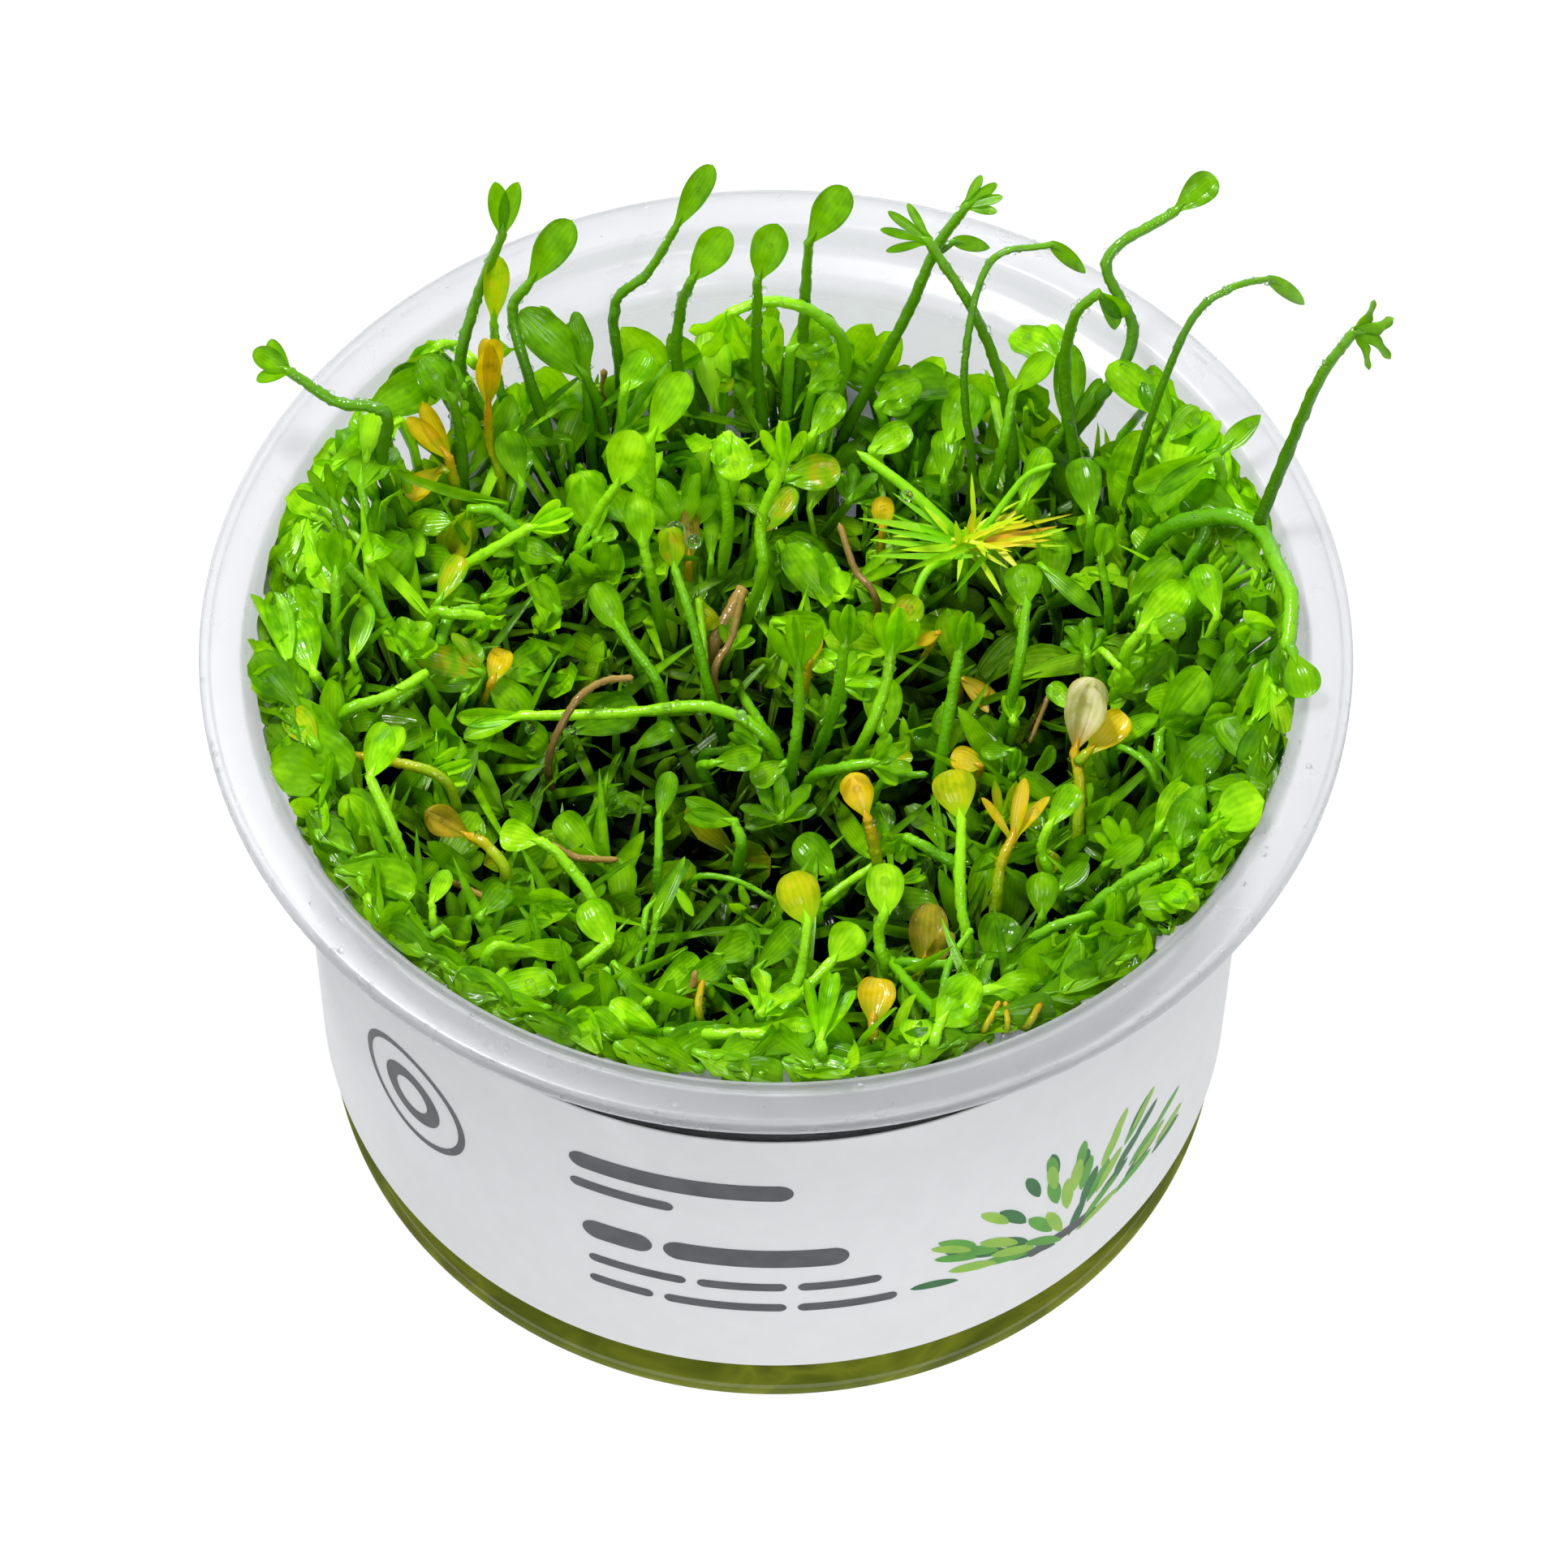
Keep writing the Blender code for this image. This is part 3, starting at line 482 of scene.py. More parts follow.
def addLeaf(gather, form, foot, tip, width, slot, chance, face=None, fine=1.0, thick=0.3):
    look = leafForms[form]
    heading = np.asarray(tip, float) - foot
    length = np.linalg.norm(heading)
    heading = heading / length
    face = lightSide if face is None else face
    face = unit(face - heading * np.dot(face, heading))
    rows = max(5, round(bladeRows * fine))
    columns = 2 * max(1, round(bladeColumns * fine)) + 1
    spots = []
    for around, opened, longShare, wideShare in look["blades"]:
        out = turned(face, heading, around)
        aim = heading * math.cos(math.radians(opened)) + out * math.sin(math.radians(opened))
        inner = heading * math.sin(math.radians(opened)) - out * math.cos(math.radians(opened))
        normal = look["flat"] * face + (1 - look["flat"]) * inner
        normal = unit(normal - aim * np.dot(normal, aim))
        spots.append(addBlade(gather, foot - heading * leafLap, aim, normal, (length + leafLap) * longShare,
                              width * wideShare, look["shape"], slot, chance, look["wrap"], look["bend"],
                              look.get("ring", 0.0), look.get("wave", 0.0), thick, rows, columns))
    return spots[0]


# Colours of a leaf: deep at its edges, body, light in its middle, what the light brings through it,
# and its foot. The last number is the share of old spots on it.
leafTints = {
    "green": ("#467e02", "#6eac03", "#92d008", "#9ae600", "#7ebc06", 0.0),
    "lime": ("#5a9c02", "#8ed406", "#bcf61e", "#b6fa00", "#a0e412", 0.0),
    "dark": ("#386a02", "#5c9802", "#7ab806", "#86ce00", "#649e04", 0.0),
    "patch": ("#5c9604", "#98c408", "#ccdc18", "#c8e400", "#84c40a", 0.55),
    "yellow": ("#94a804", "#ccd40a", "#f0e830", "#ecf000", "#94cc0a", 0.25),
    "orange": ("#b09a06", "#e4c20a", "#fce044", "#f8e000", "#9cb80a", 0.3),
    "brown": ("#7c6a10", "#a89a24", "#ccc040", "#b8a818", "#7c9c0c", 0.5),
    "pale": ("#a0a040", "#c8c474", "#f4f2d0", "#e8e0a0", "#b8981c", 0.3),
}
spotColour = "#c08c16"

# Painted shade: leaves and stalks deep between the others are painted darker, where less light reaches them
shadeDepth = {
    "clear": 2.0,          # depth below the canopy's top that is fully lit
    "dark": 8.9,           # depth at which the shade is full
    "behind": 17.0,        # how much deeper that is at the back, where light comes through the wall
    "least": 0.025,        # share of its colour that a leaf keeps in full shade
    "ease": 1.25,
}


def depthShade(tree, tone, colour):
    # painted shade: a colour made darker deep between the leaves
    eased = addNode(tree, "ShaderNodeMath", {0: tone.outputs["Alpha"], 1: shadeDepth["ease"]},
                    operation="POWER")
    share = addNode(tree, "ShaderNodeMapRange", {
        "Value": eased.outputs[0], "To Min": shadeDepth["least"], "To Max": 1.0,
    })
    return addNode(tree, "ShaderNodeMix", {0: 1.0, 6: colour, 7: share.outputs["Result"]},
                   data_type="RGBA", blend_type="MULTIPLY").outputs[2]


leafSkin = {
    "veins": 44.0,         # radians across a blade, so seven veins; real ones are finer
    "veinTint": 0.045,     # how much lighter a vein is
    "mottleSize": 1.3,
    "cellSize": 0.16,      # drawn coarser than the real cells, so that they show
    "edgeTint": -0.3,      # the edges are deeper green than the middle
    "edgeSoft": 1.6,
    "chanceTint": 0.34,    # how much whole leaves differ
    "footFade": (0.05, 0.5),   # the foot's colour fades out between these shares of the length
    "spotEdge": (0.5, 0.68),
    "relief": 0.05,        # millimetres
    "wet": (0.05, 0.32),   # roughness from the wettest to the driest place
    "glowTint": 0.7,       # share of the glow's own colour in the light that comes through
    "glow": 0.42,          # share of light that comes through
}


def leafMaterial(name, tints):
    # fresh fern leaf: thin and wet, so light glows through it, with fine veins and a soft gloss
    look = leafSkin
    deep, bodyTint, light, glowTint, footTint, spot = tints
    material, tree, output = newMaterial(name + "Leaf")
    place = addNode(tree, "ShaderNodeTexCoord")
    tone = addNode(tree, "ShaderNodeAttribute", attribute_name="tone")
    part = addNode(tree, "ShaderNodeSeparateColor", {"Color": tone.outputs["Color"]})
    along, across, chance = (part.outputs[channel] for channel in ("Red", "Green", "Blue"))
    # veins run from the foot and spread with the blade
    wave = addNode(tree, "ShaderNodeMath", {0: across, 1: look["veins"]}, operation="MULTIPLY")
    vein = addNode(tree, "ShaderNodeMath", {0: wave.outputs[0]}, operation="SINE")
    mottle = addNode(tree, "ShaderNodeTexNoise", {
        "Vector": place.outputs["Object"], "Scale": perMm(look["mottleSize"]), "Detail": 3.0,
    })
    cell = addNode(tree, "ShaderNodeTexNoise", {
        "Vector": place.outputs["Object"], "Scale": perMm(look["cellSize"]), "Detail": 1.0,
    })
    # from the middle line out to both edges
    edge = addNode(tree, "ShaderNodeMath", {0: across, 1: 2.0, 2: -1.0}, operation="MULTIPLY_ADD")
    edgeSquare = addNode(tree, "ShaderNodeMath", {0: edge.outputs[0], 1: edge.outputs[0]},
                         operation="MULTIPLY")
    edgeShare = addNode(tree, "ShaderNodeMath", {0: edgeSquare.outputs[0], 1: look["edgeSoft"]},
                        operation="POWER")
    middle = addNode(tree, "ShaderNodeMath", {
        0: edgeShare.outputs[0], 1: look["edgeTint"], 2: mottle.outputs["Fac"],
    }, operation="MULTIPLY_ADD")
    lift = addNode(tree, "ShaderNodeMath", {0: vein.outputs[0], 1: look["veinTint"], 2: middle.outputs[0]},
                   operation="MULTIPLY_ADD")
    shift = addNode(tree, "ShaderNodeMath", {0: chance, 1: look["chanceTint"], 2: lift.outputs[0]},
                    operation="MULTIPLY_ADD")
    body = addNode(tree, "ShaderNodeValToRGB", {"Fac": shift.outputs[0]})
    fillRamp(body, [(0.3, deep), (0.62, bodyTint), (0.92, light)])
    footEnd, bodyStart = look["footFade"]
    footShare = addNode(tree, "ShaderNodeMapRange", {
        "Value": along, "From Min": footEnd, "From Max": bodyStart, "To Min": 1.0, "To Max": 0.0,
    })
    footed = addNode(tree, "ShaderNodeMix", {
        0: footShare.outputs["Result"], 6: body.outputs["Color"], 7: linear(footTint),
    }, data_type="RGBA")
    clearEnd, spotStart = look["spotEdge"]
    spotMask = addNode(tree, "ShaderNodeMapRange", {
        "Value": mottle.outputs["Fac"], "From Min": clearEnd, "From Max": spotStart, "To Max": spot,
    })
    spotted = addNode(tree, "ShaderNodeMix", {
        0: spotMask.outputs["Result"], 6: footed.outputs[2], 7: linear(spotColour),
    }, data_type="RGBA")
    # painted shade: the leaf's colour, and below it the light that comes through it, made darker deep between
    # the leaves
    shaded = depthShade(tree, tone, spotted.outputs[2])
    veinRelief = addNode(tree, "ShaderNodeBump", {
        "Height": vein.outputs[0], "Strength": 0.2, "Distance": look["relief"] * mm,
    })
    relief = addNode(tree, "ShaderNodeBump", {
        "Height": cell.outputs["Fac"], "Strength": 0.2, "Distance": look["relief"] * mm,
        "Normal": veinRelief.outputs["Normal"],
    })
    wettest, driest = look["wet"]
    wet = addNode(tree, "ShaderNodeMapRange", {
        "Value": mottle.outputs["Fac"], "To Min": wettest, "To Max": driest,
    })
    skin = addNode(tree, "ShaderNodeBsdfPrincipled", {
        "Base Color": shaded, "Roughness": wet.outputs["Result"], "Specular IOR Level": 0.2,
        "Normal": relief.outputs["Normal"],
    })
    glowColour = addNode(tree, "ShaderNodeMix", {
        0: look["glowTint"], 6: spotted.outputs[2], 7: linear(glowTint),
    }, data_type="RGBA")
    letThrough(tree, output, skin, depthShade(tree, tone, glowColour.outputs[2]), look["glow"])
    return material


# Stalks are darker at their feet. Each stops list runs from the foot to the leaf.
stalkTints = {
    "green": [(0.0, "#4c9408"), (0.5, "#66b00a"), (1.0, "#84cc12")],
    "lime": [(0.0, "#62a808"), (0.5, "#84cc0c"), (1.0, "#a8ec1c")],
    "dark": [(0.0, "#3c7204"), (0.5, "#529006"), (1.0, "#68a80a")],
    "amber": [(0.0, "#5c9408"), (0.45, "#94b40c"), (1.0, "#d0a010")],
    "dry": [(0.0, "#3c2c14"), (0.5, "#8a7038"), (1.0, "#b09048")],
}


def stalkMaterial(name, stops):
    # juicy round stem: smooth wet skin over pale flesh, with tiny hairs that only roughen it.
    # The hairs are drawn 0.35 mm apart, coarser than real ones, so that they show.
    material, tree, output = newMaterial(name + "Stalk")
    place = addNode(tree, "ShaderNodeTexCoord")
    tone = addNode(tree, "ShaderNodeAttribute", attribute_name="tone")
    part = addNode(tree, "ShaderNodeSeparateColor", {"Color": tone.outputs["Color"]})
    mottle = addNode(tree, "ShaderNodeTexNoise", {
        "Vector": place.outputs["Object"], "Scale": perMm(1.4), "Detail": 2.0,
    })
    share = addNode(tree, "ShaderNodeMath", {0: mottle.outputs["Fac"], 1: 0.3, 2: part.outputs["Red"]},
                    operation="MULTIPLY_ADD")
    eased = addNode(tree, "ShaderNodeMath", {0: share.outputs[0], 1: 0.15}, operation="SUBTRACT")
    ramp = addNode(tree, "ShaderNodeValToRGB", {"Fac": eased.outputs[0]})
    fillRamp(ramp, stops)
    # painted shade: the stalk made darker deep between the leaves
    shaded = depthShade(tree, tone, ramp.outputs["Color"])
    hairs = addNode(tree, "ShaderNodeTexVoronoi", {"Vector": place.outputs["Object"], "Scale": perMm(0.35)})
    relief = addNode(tree, "ShaderNodeBump", {
        "Height": hairs.outputs["Distance"], "Strength": 0.5, "Distance": 0.08 * mm,
    })
    skin = addNode(tree, "ShaderNodeBsdfPrincipled", {
        "Base Color": shaded, "Roughness": 0.2, "Specular IOR Level": 0.4,
        "Normal": relief.outputs["Normal"],
    })
    letThrough(tree, output, skin, shaded, 0.25)
    return material


# Each long sprout as the photo shows it: form, colour, leaf width and route
# A route runs up the stalk to the leaf's foot, and its last point is the leaf's tip. A form of none has
# no leaf, and its width is the stalk's. A branch grows from the stalk in the row above it.
longSprouts = [
    ("pair", "dark", 3.5,
     [(-26, 29, 50), (-28.5, 30, 59), (-27, 33, 65.5), (-24.5, 34, 73.5), (-24, 35, 79.5)]),
    ("spoon", "dark", 3.5, [(-22, 31, 54), (-24, 35, 61), (-22.5, 36, 64), (-19, 37, 71)]),
    ("claw", "dark", 4.5, [(-35, 19, 58), (-34.5, 20, 65.5), (-39, 21, 66), (-43, 22, 69), (-46, 23, 70.5)]),
    ("spoon", "patch", 2.5, [(-25, 31, 54), (-25.5, 32, 63.5), (-25, 32.5, 71)]),
    ("bud", "orange", 2.5, [(-25, 24, 48.5), (-26, 26, 54), (-26, 26.5, 58), (-25.5, 27, 67.5)]),
    ("broad", "dark", 4, [(-16, 32, 49), (-17.5, 32.5, 55.5), (-22.5, 33.5, 62.5)]),
    ("broad", "dark", 3.5, [(-28.5, 25.5, 52), (-29.2, 27, 59), (-31.5, 28, 63)]),
    ("spoon", "dark", 2.5,
     [(-14.5, 35, 50.5), (-15, 38, 58.5), (-12, 39, 62), (-9.5, 40, 67), (-6.5, 41, 74)]),
    ("spoon", "dark", 3.5, [(-9, 35, 52), (-9, 37, 59), (-8, 37, 63.5), (-5, 38, 69)]),
    ("spoon", "dark", 3.5, [(-2, 34, 54.5), (-2, 35, 66), (-0.5, 36, 72)]),
    ("spoon", "dark", 3.5, [(2, 36.5, 54), (2.5, 39, 66.5), (5.5, 40, 72.5)]),
    ("fan", "dark", 4, [(21, 26, 48), (20.5, 29, 56), (17.5, 32, 65), (13, 35, 72), (9, 36, 73.5)]),
    ("fan", "dark", 4.5, [(8, 34, 52), (11.5, 36, 60.5), (14, 38, 67.5), (16.5, 39, 72), (19.5, 40, 73)]),
    ("blade", "dark", 1.5, [(14, 38, 66.5), (15.5, 39, 67), (19.5, 40, 65)], "branch"),
    ("blade", "dark", 1.5, [(17.5, 25, 51), (16.5, 28.5, 62), (18.5, 34, 70), (24, 35.5, 71), (28, 35, 67)]),
    ("pair", "dark", 3.5, [(27, 24, 50.5), (25.5, 28, 61), (26, 29.5, 68), (28, 30, 71), (30.5, 29.5, 67.5)]),
    ("spoon", "dark", 3,
     [(28.5, 28.5, 57), (31.5, 31.5, 63.5), (29, 35, 69.5), (35, 39, 71.5), (38.5, 41, 74)]),
    ("blade", "dark", 1.5, [(32.5, 23, 59), (36, 27, 70.5), (39.5, 29, 73), (43, 31, 72), (48, 32, 66.5)]),
    ("pair", "green", 5, [(36, 12, 54), (39, 17, 60), (38.5, 18, 63.5), (32, 16.5, 58.5)]),
    ("blade", "green", 2, [(38, 18, 62.5), (39.5, 19, 63.5), (42.5, 21, 65.5)], "branch"),
    ("pair", "orange", 3.5, [(-29, 22, 51), (-29.5, 23, 55.5), (-32.5, 24.5, 60.5)]),
    ("spoon", "orange", 2.5, [(-29.5, 22.5, 54), (-30, 22.5, 54.5), (-33.5, 20.5, 53)], "branch"),
    ("bud", "patch", 3.5, [(-23, 17, 49.5), (-25, 19, 52.5), (-27.5, 19.5, 52.5), (-29.5, 17.5, 48)]),
    ("cup", "lime", 3.5, [(-35, 13, 47.5), (-29, 14, 50.5), (-22, 16, 54.5), (-18, 17, 55.5)]),
    ("fan", "dark", 4, [(-32, 5, 49), (-35.5, 8.5, 52), (-37.5, 11, 55.5), (-39, 14, 60), (-40.5, 15.5, 64)]),
    ("cup", "green", 4.5, [(-37.5, -3, 49), (-38.5, 2, 55), (-38.5, 6, 60.5), (-38.5, 9, 63.5)]),
    ("spoon", "lime", 3.5, [(-12, 20, 46), (-11.5, 23, 52.5), (-11.5, 24, 57), (-8.5, 26, 63.5)]),
    ("broad", "lime", 3.5, [(-4.5, 21, 48), (-5.5, 24, 55), (-4.5, 23.5, 58.5), (-3.5, 19.5, 57.5)]),
    ("cup", "lime", 3, [(-1.5, 15, 48), (-1.5, 18, 53), (0.5, 20, 58.5), (0.5, 21.5, 64.5)]),
    ("spoon", "lime", 4, [(-17.5, 18, 46.5), (-16.5, 20, 50.5), (-14.5, 21, 54), (-13, 22, 60)]),
    ("disc", "lime", 3, [(-11, 14, 47.5), (-12, 16, 52.5), (-12.5, 17.5, 57)]),
    ("bud", "patch", 2.5, [(-5.5, 3, 45.5), (-7.5, 7, 53), (-9, 10, 56.5), (-9.5, 12, 60)]),
    ("cup", "green", 4, [(14.5, -5, 46), (15.5, -1, 54), (16, 1, 57), (17, 3, 61)]),
    ("cup", "lime", 4.5, [(7.5, -3, 48), (9.5, 0, 52.5), (10, 2, 55), (11, 4, 60.5)]),
    ("cup", "green", 4, [(5, 0, 49), (6, 2, 56.5), (6.5, 4, 60.5)]),
    ("cup", "green", 3.5, [(1.5, -4, 46.5), (2, -2, 51.5), (2, 0, 55.5), (1.5, 2, 62.5)]),
    ("pair", "lime", 3.5, [(0, -3, 47.5), (-5.5, -1, 51), (-14, -1, 50), (-22.5, -1, 49.5), (-28, -2, 49)]),
    ("pair", "lime", 5, [(-30.5, -22, 49.5), (-32, -20, 57), (-34.5, -16, 61.5), (-32.5, -12, 64)]),
    ("claw", "orange", 2.5, [(-28, -11, 52), (-33, -9.5, 54.5), (-38, -8.5, 54), (-40, -9.5, 56.5)]),
    ("bud", "brown", 3, [(-23, -21, 53.5), (-24.5, -19, 55.5), (-26, -18, 55.5), (-30, -16, 56.5)]),
    ("spoon", "lime", 3, [(-15, -24, 52), (-18, -20, 55), (-20, -19, 56.5), (-23.5, -18.5, 57)]),
    ("disc", "lime", 3, [(-31.5, -22, 49.5), (-33, -20.5, 53), (-34.5, -18, 56), (-36.5, -17.5, 60)]),
    ("disc", "lime", 3.5, [(-21.5, -31, 49), (-17, -29, 51.5), (-14, -27, 53), (-16, -24, 55)]),
    ("broad", "lime", 5, [(-7.5, -37.5, 54.5), (-9.5, -39.5, 57), (-17, -39.5, 58.5)]),
    ("spoon", "green", 3, [(-25.5, -31, 50), (-24.5, -32.5, 53), (-18, -34, 54)]),
    ("blade", "green", 1.5, [(-25, -27, 51), (-23.5, -26.5, 53.5), (-18.5, -25.5, 54)]),
    ("disc", "yellow", 4, [(1.5, -31, 49), (2.5, -28, 51), (3, -25, 53.5), (1.5, -22, 56.5)]),
    ("disc", "lime", 3.5, [(10, -28, 49.5), (9, -26, 53), (9.5, -25, 55), (9.5, -22, 58)]),
    ("disc", "orange", 3.5, [(8.5, -37, 52), (8.5, -37, 54), (8.5, -35.5, 54.5), (9, -32, 56)]),
    ("bud", "orange", 3, [(9, -18, 50), (8.5, -17, 54), (8, -16, 56), (6.5, -13, 58.5)]),
    ("spoon", "yellow", 4, [(17, -27, 49.5), (16, -23, 54), (16, -17, 57.5), (15, -14, 60.5)]),
    ("claw", "orange", 3, [(19, -22, 49), (19.5, -19, 53.5), (20.5, -17, 54.5), (21.5, -13, 58)]),
    ("bud", "pale", 4, [(26.5, -14, 48), (26.5, -10, 52.5), (26, -7.5, 54), (27.5, -3, 59)]),
    ("spoon", "orange", 3, [(26, -8.5, 53.5), (27, -8, 54.5), (30.5, -5, 56.5)], "branch"),
    ("bud", "yellow", 2, [(34, -18, 46), (35.5, -18, 49), (36, -16, 53)]),
    ("broad", "brown", 3.5, [(12.5, -28, 48.5), (13, -27, 50), (13.5, -23.5, 54)]),
    ("disc", "green", 4, [(17, -29, 50), (18.5, -27, 51.5), (20, -24, 53.5)]),
    ("disc", "green", 3.5, [(36, -8, 49), (38.2, -8, 54.5), (38.4, -7, 58.5)]),
    ("broad", "lime", 4, [(-9.5, -37.5, 54), (-6, -40, 59), (-1, -40.5, 60), (5, -41, 59)]),
    ("broad", "lime", 3, [(14, -36.5, 53.5), (14.5, -36.5, 59), (18.5, -35.5, 59.5), (23, -35, 59.5)]),
    ("broad", "green", 3.5, [(21, -28, 52), (23, -27.5, 56), (27, -26, 56.5), (30.5, -26, 53)]),
    ("disc", "green", 3, [(28, -23, 53), (31, -22, 55), (34, -20, 56), (36, -17, 58.5)]),
    ("spoon", "green", 3, [(22.5, -24.5, 50), (23, -24, 53), (23, -21.5, 56)]),
    ("spoon", "lime", 2.5, [(24, -19, 51), (23, -18, 54.5), (23.5, -17, 56.5), (26, -14, 58.5)]),
    ("broad", "green", 3.5, [(32.5, -8, 50.5), (33.5, -6, 52.5), (37, -1, 58)]),
    ("broad", "dark", 3, [(36, -3, 50), (37.8, -3.5, 55), (40.2, -1, 60)]),
    ("broad", "lime", 3.5, [(30.5, 2, 54), (32, 3, 58), (36, 7, 59.5)]),
    ("spoon", "green", 3.5, [(21, 2, 50), (22, 7, 56), (21.5, 9, 59)]),
    ("bud", "green", 2, [(29.5, 9, 51), (28.5, 11, 57.5), (29, 12.5, 60.5)]),
    ("disc", "green", 3, [(-10, 4, 44), (-14, 8, 50.5), (-16, 10, 54)]),
    ("clover", "green", 4, [(-30, 3, 50), (-29, 7, 53), (-26.5, 8.5, 52.5), (-25, 7.5, 49.5)]),
    ("broad", "green", 3.5, [(-34, -1, 49), (-31, 2, 50.5), (-26, 4, 53)]),
    ("spoon", "green", 2.5, [(-6.5, -3.5, 44.5), (-5.5, -4.5, 47.5), (-1.5, -5, 49.5)]),
    ("clover", "green", 3, [(3, -5, 45.5), (5.5, -6, 49), (8.5, -6, 50), (12, -6, 51)]),
    ("pair", "green", 3.5, [(-3, -13, 45.5), (-3.5, -11, 48), (-8, -11, 50)]),
    ("spoon", "green", 2, [(-10, -18, 47), (-10, -17, 50.5), (-10, -14, 52.5), (-9, -11, 55.5)]),
    ("blade", "green", 1.5, [(-11, -27, 47.5), (-10, -24, 52.5), (-7.5, -19, 55)]),
    ("spoon", "lime", 3.5, [(-1, -35, 51), (2, -33, 53.5), (5, -30, 55), (7, -28.5, 58)]),
    ("spoon", "green", 3, [(-27.5, -25.5, 51), (-26, -24.5, 52.5), (-23, -22.5, 52)]),
    ("broad", "green", 4.5, [(-29, -25, 51), (-28.8, -26.4, 54), (-26.4, -28.4, 54)]),
    ("none", "green", 1.6,
     [(33.5, 15, 55), (38.5, 13.5, 60.5), (42, 11.5, 61.5), (43.5, 6.5, 63), (44.5, 2, 64), (44, -3, 63)]),
    ("spoon", "green", 3.5, [(44, -1.5, 63), (44.5, -3.5, 63.5), (45.5, -7.5, 63)], "branch"),
    ("clover", "dark", 3,
     [(42, 11.5, 61.5), (44.5, 14, 70.5), (46.5, 15, 78.5), (49, 16, 83.5), (53, 17, 81)], "branch"),
    ("none", "dry", 0.75, [(-16, 34.5, 47), (-16, 36, 52)]),
    ("none", "dry", 0.75, [(9, 14, 46), (7, 16.5, 48), (5.5, 19.5, 51)]),
    ("none", "dry", 0.75, [(-20, -5, 47), (-18, -2, 52), (-15.5, 0.5, 52.5), (-12.5, 1.5, 52)]),
    ("none", "dry", 0.75, [(-31, -17, 50), (-28.5, -19.5, 51.5), (-23.5, -23.5, 53.5)]),
    ("none", "dry", 0.75, [(-7, -33, 50), (-6.5, -31, 55)]),
    ("none", "dry", 0.75, [(-5.5, 5, 46), (-4, 8, 49), (-3, 11, 52)]),
]
